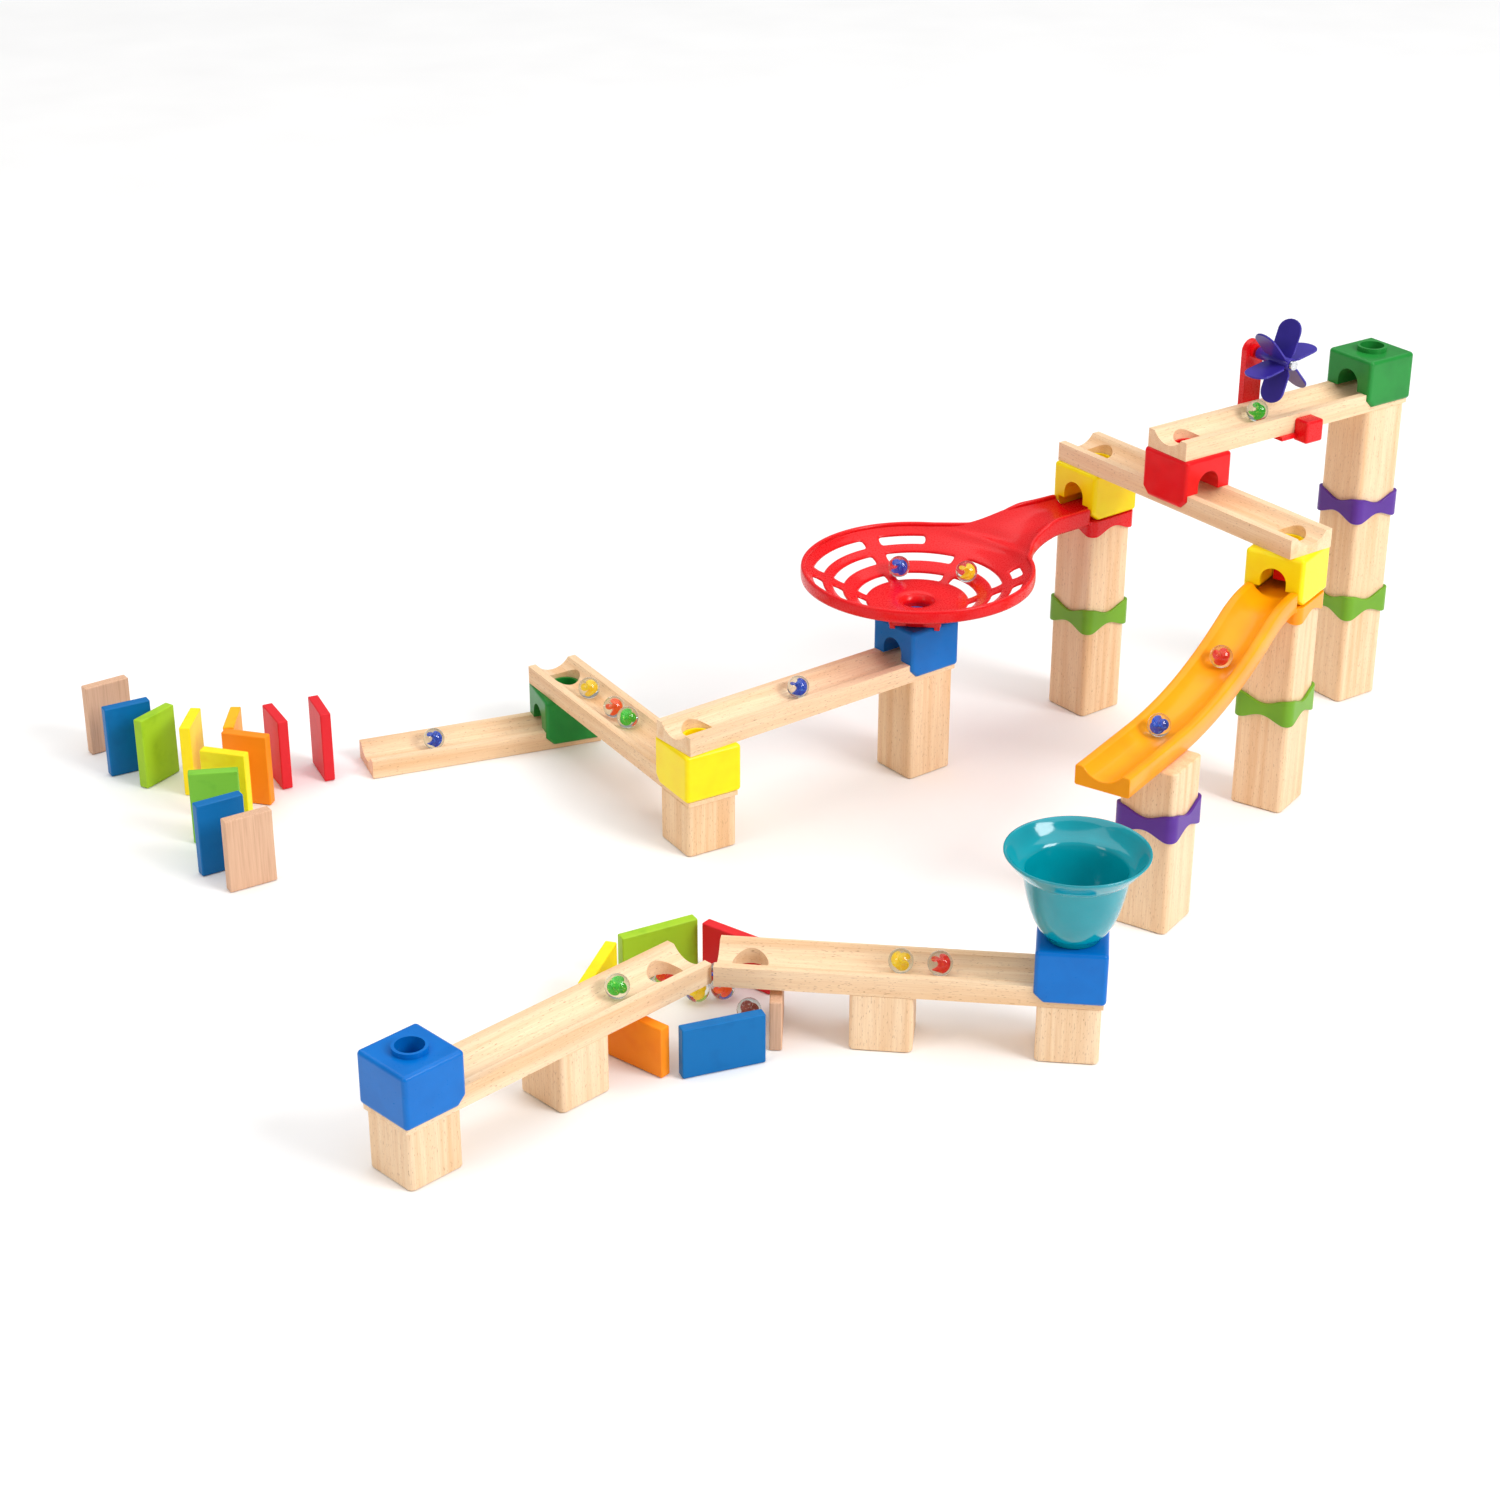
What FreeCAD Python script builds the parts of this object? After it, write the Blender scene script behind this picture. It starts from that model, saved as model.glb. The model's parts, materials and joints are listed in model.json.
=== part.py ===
import FreeCAD, Part
import math
import os
import Sketcher
from FreeCAD import Placement, Rotation, Vector

# A wooden block marble run: three post-and-rail groups with a spiral bowl, a slide, a funnel, a
# windmill, a line of dominoes and a domino pen. Millimetres, +Z up, the floor is Z = 0 and the
# origin is under the middle of the layout's box.

doc = FreeCAD.newDocument("MarbleRun")

# ---------------------------------------------------------------- driving dimensions
DIMENSIONS = [
    ("module", 40.0, "side of a post, width of a rail and height of one storey"),
    ("block_side", 45.0, "side of a block, which stands a little proud of its rail and post"),
    ("post_long", 80.0, "height of a two-storey post"),
    ("post_round", 4.0, "radius of a post's upright edges"),
    ("end_round", 1.2, "radius of a post's end edges"),
    ("rail_high", 14.0, "height of a rail's side"),
    ("pitch", 200.0, "distance between the seat and the drop hole of a rail"),
    ("windmill_pitch", 181.0, "the same distance on the windmill rail"),
    ("floor_run", 157.0, "reach of the floor rail beyond its seat"),
    ("red_seat", 95.0, "distance of the red block from the upper drop hole of rail 2"),
    ("rail_end", 21.0, "rail beyond its drop hole or seat"),
    ("groove_radius", 17.0, "radius of the marble groove"),
    ("groove_deep", 7.4, "depth of the marble groove"),
    ("base_strip", 3.5, "full-width strip that stays under a block"),
    ("skirt", 4.0, "thickness of a block's skirt"),
    ("notch_long", 6.0, "length of the slanted shoulder under a block's exit"),
    ("play", 0.1, "play between a skirt and a rail's neck"),
    ("ring_outer", 11.0, "outer radius of the ring on a block"),
    ("ring_inner", 9.0, "radius of a block's hole"),
    ("ring_high", 3.5, "height of the ring"),
    ("drop_radius", 11.4, "radius of a rail's drop hole"),
    ("tunnel_wide", 20.0, "width of a block's tunnel"),
    ("tunnel_spring", 19.0, "height at which the tunnel's arch springs"),
    ("block_round", 3.0, "radius of a block's edges"),
    ("ramp_toe", 3.0, "gap between a block's ramp and the far side of its hole"),
    ("ramp_top", 2.0, "level top of the ramp"),
    ("ramp_high", 13.0, "rise of the ramp"),
    ("collar_wall", 2.4, "wall of a joint collar"),
    ("collar_high", 20.0, "height of a joint collar at its corners"),
    ("collar_waist", 9.0, "height of a joint collar at mid-face"),
    ("scallop_radius", 30.0, "radius of a collar's scallops"),
    ("marble_radius", 8.0, "a standard 16 mm marble"),
    ("domino_high", 55.0, "length of a domino"),
    ("domino_wide", 35.0, "width of a domino"),
    ("domino_thick", 8.0, "thickness of a domino"),
    ("domino_round", 1.0, "radius of a domino's edges"),
    ("bowl_radius", 85.5, "outer radius of the spiral bowl"),
    ("bowl_high", 41.0, "height of the bowl's rim above the block under it"),
    ("bowl_wall", 2.6, "wall of the bowl"),
    ("bowl_floor", 36.0, "radius of the flat floor of the bowl"),
    ("bowl_level", 14.0, "height of the bowl's floor above the block under it"),
    ("bowl_band", 7.0, "height of the band round the rim"),
    ("bowl_lip", 2.4, "width of the rim's lip"),
    ("bowl_hub", 20.0, "radius of the hub under the bowl"),
    ("foot_side", 38.0, "side of the bowl's foot plate, which is turned by 45 degrees"),
    ("foot_high", 4.5, "thickness of the foot plate"),
    ("foot_tip", 2.5, "overhang of the plate's corners down the block's faces"),
    ("arm_reach", 175.5, "distance between the bowl's drain and the arm's seat"),
    ("arm_start", 77.0, "distance from the drain at which the arm's trough begins"),
    ("slide_level", 25.0, "level start of the slide, beyond its seat"),
    ("slide_crest", 80.0, "radius of the slide's crest"),
    ("slide_sweep", 322.8, "radius of the slide's long sweep"),
    ("slide_angle", 25.75, "steepest slope of the slide, degrees"),
    ("slide_reach", 272.0, "distance between the slide's seat and its low end"),
    ("slide_side", 15.0, "height of the slide's sides"),
    ("funnel_radius", 45.5, "outer radius of the funnel's rim"),
    ("funnel_high", 60.0, "height of the funnel"),
    ("funnel_wall", 2.2, "wall of the funnel"),
    ("funnel_foot", 16.8, "radius of the funnel's foot"),
    ("funnel_foot_high", 4.0, "height of the foot"),
    ("funnel_waist", 21.4, "radius above the foot"),
    ("funnel_waist_high", 8.0, "height at which the cup begins"),
    ("funnel_step", 13.0, "depth of the step below the rim"),
    ("funnel_cup", 32.5, "outer radius of the cup below the step"),
    ("funnel_ledge", 36.0, "outer radius of the step"),
    ("funnel_floor", 11.0, "height of the cup's floor"),
    ("bracket_wall", 5.0, "thickness of the bracket's upright"),
    ("bracket_strap", 3.0, "thickness of the strap under the rail"),
    ("bracket_half", 8.5, "half the width of the upright"),
    ("bracket_boss", 8.0, "length of the bearing boss from the upright's back"),
    ("clip_from", 23.5, "far side of the clip, before the axle"),
    ("clip_to", 6.5, "near side of the clip, before the axle"),
    ("clip_deep", 12.5, "depth of the clip beside the rail"),
    ("clip_low", 6.0, "clip below the rail's underside"),
    ("clip_high", 11.0, "clip above the rail's underside"),
    ("clip_round", 2.0, "radius of the clip's edges"),
    ("wheel_seat", 101.6, "distance of the windmill's axle from the seat of its rail"),
    ("axle_level", 52.6, "height of the axle above the rail's underside"),
    ("axle_radius", 2.0, "radius of the axle"),
    ("axle_out", 19.0, "reach of the axle beyond the middle of the rail"),
    ("cap_radius", 3.4, "radius of the axle's cap"),
    ("cap_long", 2.0, "length of the axle's cap"),
    ("wheel_radius", 31.6, "radius over the blades"),
    ("blade_round", 12.0, "radius of a blade's tip"),
    ("blade_tip", 7.2, "height of a blade's round tip"),
    ("wheel_wide", 22.0, "width of a blade along the axle"),
    ("wheel_back", 4.0, "blade behind the middle of the rail"),
    ("blade_root", 3.0, "inner end of a blade, inside the hub"),
    ("blade_thick", 1.8, "thickness of a blade"),
    ("hub_radius", 4.5, "radius of the windmill's hub"),
    ("hub_long", 33.6, "length of the hub"),
    ("hub_back", 15.4, "hub behind the middle of the rail"),
    ("bearing_play", 0.06, "radial play of the hub on its axle"),
]

sheet = doc.addObject("Spreadsheet::Sheet", "Dims")
for row, (alias, value, note) in enumerate(DIMENSIONS, start=1):
    sheet.set("A%d" % row, note)
    sheet.set("B%d" % row, repr(value))
    sheet.setAlias("B%d" % row, alias)
doc.recompute()


class Size:
    """A length that carries both its value and the spreadsheet formula that it comes from."""

    def __init__(self, value, text):
        self.value = float(value)
        self.text = text

    def __add__(self, other):
        other = as_size(other)
        return Size(self.value + other.value, "(%s + %s)" % (self.text, other.text))

    def __sub__(self, other):
        other = as_size(other)
        return Size(self.value - other.value, "(%s - %s)" % (self.text, other.text))

    def __mul__(self, factor):
        return Size(self.value * factor, "(%s * %r)" % (self.text, factor))

    def __truediv__(self, factor):
        return Size(self.value / factor, "(%s / %r)" % (self.text, factor))

    def __neg__(self):
        return Size(-self.value, "(0 - %s)" % self.text)

    def sine(self):
        return Size(math.sin(math.radians(self.value)), "sin(%s * 1 deg)" % self.text)

    def versine(self):
        return Size(1.0 - math.cos(math.radians(self.value)), "(1 - cos(%s * 1 deg))" % self.text)

    def times(self, other):
        return Size(self.value * other.value, "(%s * %s)" % (self.text, other.text))


def as_size(number):
    return number if isinstance(number, Size) else Size(number, repr(float(number)))


def dim(alias):
    return Size(sheet.get(alias), "Dims.%s" % alias)


MODULE = dim("module")
HALF = MODULE / 2
BLOCK_HALF = dim("block_side") / 2
RAIL_HIGH = dim("rail_high")
STRIP = dim("base_strip")
SKIRT = dim("skirt")
PLAY = dim("play")
RAIL_END = dim("rail_end")
PITCH = dim("pitch")
ZERO = as_size(0.0)

subparts = []


# ---------------------------------------------------------------- building helpers
def bind(item, path, length):
    item.setExpression(path, as_size(length).text)


def new_body(name):
    return doc.addObject("PartDesign::Body", name)


def new_sketch(body, role, name, lift=None):
    """A sketch on one of the body's own origin planes, lifted along the plane's normal."""
    plane = [item for item in body.Origin.OriginFeatures if item.Role == role][0]
    sketch = body.newObject("Sketcher::SketchObject", name)
    sketch.AttachmentSupport = [(plane, "")]
    sketch.MapMode = "FlatFace"
    if lift is not None:
        bind(sketch, "AttachmentOffset.Base.z", lift)
    return sketch


def fix_point(sketch, edge, end, x, y):
    """Holds one end of an edge at a place given by two sizes."""
    for kind, axis, length in (("DistanceX", -2, x), ("DistanceY", -1, y)):
        if abs(length.value) < 1e-9:
            sketch.addConstraint(Sketcher.Constraint("PointOnObject", edge, end, axis))
            continue
        index = sketch.addConstraint(Sketcher.Constraint(kind, -1, 1, edge, end, length.value))
        bind(sketch, "Constraints[%d]" % index, length)


def draw_outline(sketch, points, bulges=None):
    """A closed outline. bulges maps an edge's number to (radius, side) and makes it an arc."""
    bulges = bulges or {}
    places = [(as_size(x), as_size(y)) for x, y in points]
    corners = [Vector(x.value, y.value, 0) for x, y in places]
    first = sketch.GeometryCount
    count = len(corners)
    for index, start in enumerate(corners):
        end = corners[(index + 1) % count]
        if index in bulges:
            radius, side = bulges[index]
            chord = end - start
            middle = (start + end) * 0.5
            normal = Vector(-chord.y, chord.x, 0).normalize()
            rise = radius.value - math.sqrt(radius.value**2 - (chord.Length / 2) ** 2)
            ends = (end, start) if side > 0 else (start, end)
            arc = Part.Arc(ends[0], middle + normal * rise * side, ends[1])
            sketch.addGeometry(arc, False)
        else:
            sketch.addGeometry(Part.LineSegment(start, end), False)
    starts = []
    for index, start in enumerate(corners):
        edge = first + index
        geometry = sketch.Geometry[edge]
        at_start = (geometry.StartPoint - start).Length < 1e-6
        starts.append((1, 2) if at_start else (2, 1))
    for index in range(count):
        after = (index + 1) % count
        pair = (first + index, starts[index][1], first + after, starts[after][0])
        sketch.addConstraint(Sketcher.Constraint("Coincident", *pair))
    for index, (x, y) in enumerate(places):
        fix_point(sketch, first + index, starts[index][0], x, y)
    for index, (radius, side) in bulges.items():
        datum = Sketcher.Constraint("Radius", first + index, radius.value)
        bind(sketch, "Constraints[%d]" % sketch.addConstraint(datum), radius)


def draw_box(sketch, low_x, low_y, high_x, high_y):
    draw_outline(sketch, [(low_x, low_y), (high_x, low_y), (high_x, high_y), (low_x, high_y)])


def draw_circle(sketch, x, y, radius):
    x, y, radius = as_size(x), as_size(y), as_size(radius)
    circle = Part.Circle(Vector(x.value, y.value, 0), Vector(0, 0, 1), radius.value)
    edge = sketch.addGeometry(circle, False)
    fix_point(sketch, edge, 3, x, y)
    index = sketch.addConstraint(Sketcher.Constraint("Radius", edge, radius.value))
    bind(sketch, "Constraints[%d]" % index, radius)


def pad(body, sketch, length, name, both=False, back=False):
    feature = body.newObject("PartDesign::Pad", name)
    feature.Profile = sketch
    bind(feature, "Length", length)
    feature.Midplane = both
    feature.Reversed = back
    doc.recompute()
    return feature


def pocket(body, sketch, name, length=None, both=False, back=False):
    """A pocket that must take something away. With no length it goes right through."""
    before = body.Shape.Volume
    feature = body.newObject("PartDesign::Pocket", name)
    feature.Profile = sketch
    if length is None:
        feature.Type = "ThroughAll"
    else:
        bind(feature, "Length", length)
    feature.Midplane = both
    feature.Reversed = back
    doc.recompute()
    if not body.Shape.Volume < before - 1e-3:
        raise RuntimeError("%s takes nothing away" % name)
    return feature


def soften(body, feature, radius, name, wanted):
    """Rounds the edges of a feature for which wanted(edge) is true."""
    edges = ["Edge%d" % (i + 1) for i, edge in enumerate(feature.Shape.Edges) if wanted(edge)]
    fillet = body.newObject("PartDesign::Fillet", name)
    fillet.Base = (feature, edges)
    bind(fillet, "Radius", radius)
    doc.recompute()
    return fillet


def upright(edge):
    low, high = edge.BoundBox.ZMin, edge.BoundBox.ZMax
    return high - low > 0.5 * MODULE.value


def every(edge):
    return True


def finish(item, label, x=0.0, y=0.0, z=0.0, turn=0.0):
    """Gives a sub-part its label and its place, and keeps it for the export."""
    item.Label = label
    item.Placement = Placement(Vector(x, y, z), Rotation(Vector(0, 0, 1), turn))
    subparts.append(item)
    return item


def group(label, items):
    """Separate solids of one kind that share a node."""
    compound = doc.addObject("Part::Compound", label)
    compound.Links = items
    compound.Label = label
    subparts.append(compound)
    return compound


def place(item, x, y, z, turn=0.0):
    item.Placement = Placement(Vector(x, y, z), Rotation(Vector(0, 0, 1), turn))
    return item


# ---------------------------------------------------------------- wooden pieces
def make_post(name, height):
    body = new_body(name)
    sketch = new_sketch(body, "XY_Plane", name + "_square")
    draw_box(sketch, -HALF, -HALF, HALF, HALF)
    column = pad(body, sketch, height, name + "_column")
    sides = soften(body, column, dim("post_round"), name + "_sides", upright)
    flat = lambda edge: edge.BoundBox.ZLength < 1e-6
    soften(body, sides, dim("end_round"), name + "_ends", flat)
    return body


def seat_outline(low, high, seat, ends_here, through):
    """The side view of the full-width part of a rail, cut down to the strip at its seat."""
    top = RAIL_HIGH
    exit_x = seat + BLOCK_HALF
    toe_x = exit_x - dim("notch_long")
    shoulder = STRIP + dim("notch_long")
    right = [(toe_x, STRIP), (exit_x, shoulder), (exit_x, top), (high, top), (high, ZERO)]
    if ends_here:
        return [(low, ZERO), (low, STRIP)] + right
    back_x = seat - BLOCK_HALF
    heel_x = back_x + dim("notch_long") if through else back_x
    left = [(low, ZERO), (low, top), (back_x, top), (back_x, shoulder), (heel_x, STRIP)]
    return left + right


def make_rail(name, low, high, seat, drops, ends_here=True):
    """A grooved rail along +X. The seat is the middle of the block that stands on it."""
    body = new_body(name)
    side = new_sketch(body, "XZ_Plane", name + "_side")
    draw_outline(side, seat_outline(low, high, seat, ends_here, not ends_here))
    pad(body, side, MODULE, name + "_width", both=True)
    core = new_sketch(body, "XZ_Plane", name + "_core")
    core_low = seat - HALF + SKIRT if ends_here else low
    draw_box(core, core_low, ZERO, high, RAIL_HIGH)
    pad(body, core, MODULE - SKIRT * 2, name + "_neck", both=True)
    groove = new_sketch(body, "YZ_Plane", name + "_groove_line")
    groove_level = RAIL_HIGH - dim("groove_deep") + dim("groove_radius")
    draw_circle(groove, ZERO, groove_level, dim("groove_radius"))
    pocket(body, groove, name + "_groove", both=True)
    for index, drop in enumerate(drops):
        hole = new_sketch(body, "XY_Plane", "%s_drop_line%d" % (name, index))
        draw_circle(hole, drop, ZERO, dim("drop_radius"))
        pocket(body, hole, "%s_drop%d" % (name, index), both=True)
    return body


def make_block(name, through=False):
    """A block over a rail: a skirt on each side, a hole from the top and an arched tunnel to +X.
    The block of kind through is open at both ends and stands over the middle of a rail."""
    body = new_body(name)
    side = new_sketch(body, "XZ_Plane", name + "_side")
    notch = dim("notch_long")
    toe = BLOCK_HALF - notch - PLAY
    shoulder = STRIP + notch + PLAY
    exit_side = [(toe, STRIP), (BLOCK_HALF, shoulder), (BLOCK_HALF, MODULE)]
    entry_side = [(-BLOCK_HALF, MODULE), (-BLOCK_HALF, STRIP)]
    if through:
        entry_side = [(-BLOCK_HALF, MODULE), (-BLOCK_HALF, shoulder), (-toe, STRIP)]
    draw_outline(side, exit_side + entry_side)
    cube = pad(body, side, dim("block_side"), name + "_cube", both=True)
    soften(body, cube, dim("block_round"), name + "_edges", every)
    ring = new_sketch(body, "XY_Plane", name + "_ring_line", MODULE - 1.0)
    draw_circle(ring, ZERO, ZERO, dim("ring_outer"))
    pad(body, ring, dim("ring_high") + 1.0, name + "_ring")
    neck = new_sketch(body, "YZ_Plane", name + "_neck_line")
    neck_half = HALF - SKIRT + PLAY
    draw_box(neck, -neck_half, ZERO, neck_half, RAIL_HIGH + PLAY)
    if through:
        pocket(body, neck, name + "_neck", both=True)
    else:
        bind(neck, "AttachmentOffset.Base.z", -neck_half)
        pocket(body, neck, name + "_neck", MODULE * 2, back=True)
    arch_half = dim("tunnel_wide") / 2
    walls = new_sketch(body, "YZ_Plane", name + "_tunnel_line")
    draw_box(walls, -arch_half, ZERO, arch_half, dim("tunnel_spring"))
    pocket(body, walls, name + "_tunnel", MODULE * 2, both=through, back=True)
    arch = new_sketch(body, "YZ_Plane", name + "_arch_line")
    draw_circle(arch, ZERO, dim("tunnel_spring"), arch_half)
    pocket(body, arch, name + "_arch", MODULE * 2, both=through, back=True)
    hole = new_sketch(body, "XY_Plane", name + "_hole_line", RAIL_HIGH)
    draw_circle(hole, ZERO, ZERO, dim("ring_inner"))
    pocket(body, hole, name + "_hole", MODULE, back=True)
    return body


def make_domino(name, length, width):
    """A domino with its length along Z and its thickness along X."""
    body = new_body(name)
    sketch = new_sketch(body, "XY_Plane", name + "_foot")
    thick = dim("domino_thick")
    draw_box(sketch, -thick / 2, -width / 2, thick / 2, width / 2)
    slab = pad(body, sketch, length, name + "_slab")
    soften(body, slab, dim("domino_round"), name + "_edges", every)
    return body


# ---------------------------------------------------------------- plastic pieces
def cut_scallops(body, name, level, above, below):
    """Cuts the waves of a collar whose corners reach level + above and level - below."""
    reach = dim("scallop_radius") + dim("collar_waist") / 2
    for role in ("XZ_Plane", "YZ_Plane"):
        for tag, wanted, rise in (("top", above, reach), ("foot", below, -reach)):
            if wanted:
                wave = new_sketch(body, role, "%s_%s_%s" % (name, role[:2].lower(), tag))
                draw_circle(wave, ZERO, level + rise, dim("scallop_radius"))
                pocket(body, wave, wave.Name + "_cut", both=True)


def make_collar(name):
    """A wavy sleeve around the joint between two posts; Z = 0 is the joint."""
    body = new_body(name)
    half_high = dim("collar_high") / 2
    outer = new_sketch(body, "XY_Plane", name + "_outer", -half_high)
    out = HALF + dim("collar_wall") + PLAY
    draw_box(outer, -out, -out, out, out)
    sleeve = pad(body, outer, dim("collar_high"), name + "_sleeve")
    corner_round = dim("post_round") + dim("collar_wall")
    soften(body, sleeve, corner_round, name + "_corners", lambda e: e.BoundBox.ZLength > 1.0)
    inner = new_sketch(body, "XY_Plane", name + "_inner")
    inside = HALF + PLAY
    draw_box(inner, -inside, -inside, inside, inside)
    pocket(body, inner, name + "_bore", both=True)
    cut_scallops(body, name, ZERO, True, True)
    return body


def make_flange(name):
    """A wavy collar under an element's end, around the top of what it stands on (Z = 0)."""
    body = new_body(name)
    deep = dim("collar_high") / 2
    outer = new_sketch(body, "XY_Plane", name + "_outer", -deep)
    out = HALF + dim("collar_wall") + PLAY
    draw_box(outer, -out, -out, out, out)
    sleeve = pad(body, outer, deep + STRIP - 0.5, name + "_sleeve")
    corner_round = dim("post_round") + dim("collar_wall")
    soften(body, sleeve, corner_round, name + "_corners", lambda e: e.BoundBox.ZLength > 1.0)
    inner = new_sketch(body, "XY_Plane", name + "_inner")
    inside = HALF + PLAY
    draw_box(inner, -inside, -inside, inside, inside)
    pocket(body, inner, name + "_bore", deep * 2)
    cut_scallops(body, name, ZERO, False, True)
    return body


def cylinder(name, radius, high, x=0.0, y=0.0, z=0.0, axis=Vector(0, 0, 1), sector=360.0, start=0.0):
    item = doc.addObject("Part::Cylinder", name)
    bind(item, "Radius", radius)
    bind(item, "Height", high)
    item.Angle = sector
    turn = Rotation(Vector(0, 0, 1), axis).multiply(Rotation(Vector(0, 0, 1), start))
    item.Placement = Placement(Vector(x, y, z), turn)
    return item


def box(name, low, high):
    item = doc.addObject("Part::Box", name)
    for path, small, large in zip(("Length", "Width", "Height"), low, high):
        bind(item, path, as_size(large) - as_size(small))
    for axis, small in zip("xyz", low):
        bind(item, "Placement.Base.%s" % axis, small)
    return item


def fuse(name, items):
    item = doc.addObject("Part::MultiFuse", name)
    item.Shapes = items
    return item


def cut(name, base, tool):
    item = doc.addObject("Part::Cut", name)
    item.Base = base
    item.Tool = tool
    return item


def revolve(body, name, points):
    """A solid of revolution about Z from an outline of (radius, height) points."""
    sketch = new_sketch(body, "XZ_Plane", name + "_half_section")
    draw_outline(sketch, points)
    feature = body.newObject("PartDesign::Revolution", name)
    feature.Profile = sketch
    feature.ReferenceAxis = (sketch, ["V_Axis"])
    feature.Angle = 360.0
    doc.recompute()
    return feature


def make_bowl_foot():
    """A square plate under the hub, turned by 45 degrees. Its corners hang over the block's faces."""
    plate = new_body("bowl_foot_plate")
    tip = dim("foot_tip")
    half = dim("foot_side") / 2
    outline = new_sketch(plate, "XY_Plane", "bowl_foot_outline", -tip)
    draw_box(outline, -half, -half, half, half)
    slab = pad(plate, outline, dim("foot_high") + tip, "bowl_foot_slab")
    soften(plate, slab, dim("collar_wall"), "bowl_foot_corners", lambda e: e.BoundBox.ZLength > 1.0)
    place(plate, 0, 0, 0, 45.0)
    room = BLOCK_HALF + PLAY * 3
    block_room = box("bowl_foot_room", (-room, -room, -MODULE), (room, room, ZERO))
    drain = cylinder("bowl_foot_drain", dim("drop_radius"), MODULE, z=-HALF.value)
    return cut("bowl_foot", plate, fuse("bowl_foot_tools", [block_room, drain]))


def make_bowl():
    """The spiral bowl. Z = 0 is the top of the block under it and +X runs to the arm's seat."""
    rim, high, wall = dim("bowl_radius"), dim("bowl_high"), dim("bowl_wall")
    floor, level, drain = dim("bowl_floor"), dim("bowl_level"), dim("drop_radius")
    hub, band, lip = dim("bowl_hub"), dim("bowl_band"), dim("bowl_lip")
    dish = new_body("bowl_dish")
    inner = [(drain, level), (floor, level + 0.5), (rim - lip * 2, high - lip * 2), (rim - lip, high)]
    band_foot = high - band
    outer = [(rim, high), (rim, band_foot), (rim - wall, band_foot), (floor, level - wall)]
    stem = [(hub, level - wall), (hub, ZERO), (drain, ZERO)]
    revolve(dish, "bowl_shell", inner + outer + stem)
    slots = []
    for ring, (inner_edge, slot_wide) in enumerate(SLOT_RINGS):
        for index, (start, sector) in enumerate(SLOT_SECTORS):
            name = "slot%d%d" % (ring, index)
            wide = cylinder(name + "_wide", inner_edge + slot_wide, high * 2, sector=sector, start=start)
            slim = cylinder(name + "_slim", inner_edge, high * 2, sector=sector, start=start)
            slots.append(cut(name, wide, slim))
    pierced = cut("bowl_pierced", dish, fuse("bowl_slots", slots))
    arm_high = MODULE.value
    reach = dim("arm_reach")
    arm = make_rail("bowl_arm", -RAIL_END, reach - dim("arm_start"), ZERO, [])
    place(arm, reach.value, 0, arm_high, 180.0)
    arm_flange = place(make_flange("bowl_arm_flange"), reach.value, 0, arm_high)
    return fuse("red_spiral_bowl", [pierced, arm, arm_flange, make_bowl_foot()])


def make_slide():
    """The slide: a level seat, a crest, a long sweep and a level foot, along +X."""
    body = new_body("slide_channel")
    angle = dim("slide_angle")
    crest, sweep = dim("slide_crest"), dim("slide_sweep")
    level_x = dim("slide_level")
    turn_x = level_x + crest.times(angle.sine())
    turn_z = -crest.times(angle.versine())
    foot_x = turn_x + sweep.times(angle.sine())
    foot_z = turn_z - sweep.times(angle.versine())
    end_x = dim("slide_reach")
    side_high = dim("slide_side")
    under = [(-HALF, ZERO), (level_x, ZERO), (turn_x, turn_z), (foot_x, foot_z), (end_x, foot_z)]
    over = [(x, z + side_high) for x, z in reversed(under[1:])] + [(BLOCK_HALF, side_high)]
    notch = dim("notch_long")
    shoulder = [(BLOCK_HALF, STRIP + notch), (BLOCK_HALF - notch, STRIP), (-HALF, STRIP)]
    bends = {1: (crest, 1), 2: (sweep, -1), 6: (sweep, 1), 7: (crest, -1)}
    side = new_sketch(body, "XZ_Plane", "slide_side_view")
    draw_outline(side, under + over + shoulder, bends)
    pad(body, side, MODULE, "slide_width", both=True)
    core = new_sketch(body, "XZ_Plane", "slide_core")
    draw_box(core, -HALF + SKIRT, ZERO, BLOCK_HALF, RAIL_HIGH)
    pad(body, core, MODULE - SKIRT * 2, "slide_neck", both=True)
    lift = side_high.value - dim("groove_deep").value + dim("groove_radius").value
    line = [Vector(x.value, 0, z.value + lift) for x, z in under]
    line[0].x -= MODULE.value
    line[-1].x += MODULE.value
    bend_x = [crest.value * math.sin(math.radians(angle.value / 2)),
              sweep.value * math.sin(math.radians(angle.value / 2))]
    dip = [crest.value * (1 - math.cos(math.radians(angle.value / 2))),
           sweep.value * (1 - math.cos(math.radians(angle.value / 2)))]
    crest_middle = Vector(line[1].x + bend_x[0], 0, line[1].z - dip[0])
    sweep_middle = Vector(line[3].x - bend_x[1], 0, line[3].z + dip[1])
    path = Part.Wire([
        Part.LineSegment(line[0], line[1]).toShape(),
        Part.Arc(line[1], crest_middle, line[2]).toShape(),
        Part.Arc(line[2], sweep_middle, line[3]).toShape(),
        Part.LineSegment(line[3], line[4]).toShape(),
    ])
    ring = Part.Wire([Part.Circle(line[0], Vector(1, 0, 0), dim("groove_radius").value).toShape()])
    tool = doc.addObject("Part::Feature", "slide_groove")
    tool.Shape = path.makePipeShell([ring], True, False)
    grooved = cut("slide_grooved", body, tool)
    return fuse("orange_slide", [grooved, make_flange("slide_flange")])


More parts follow.
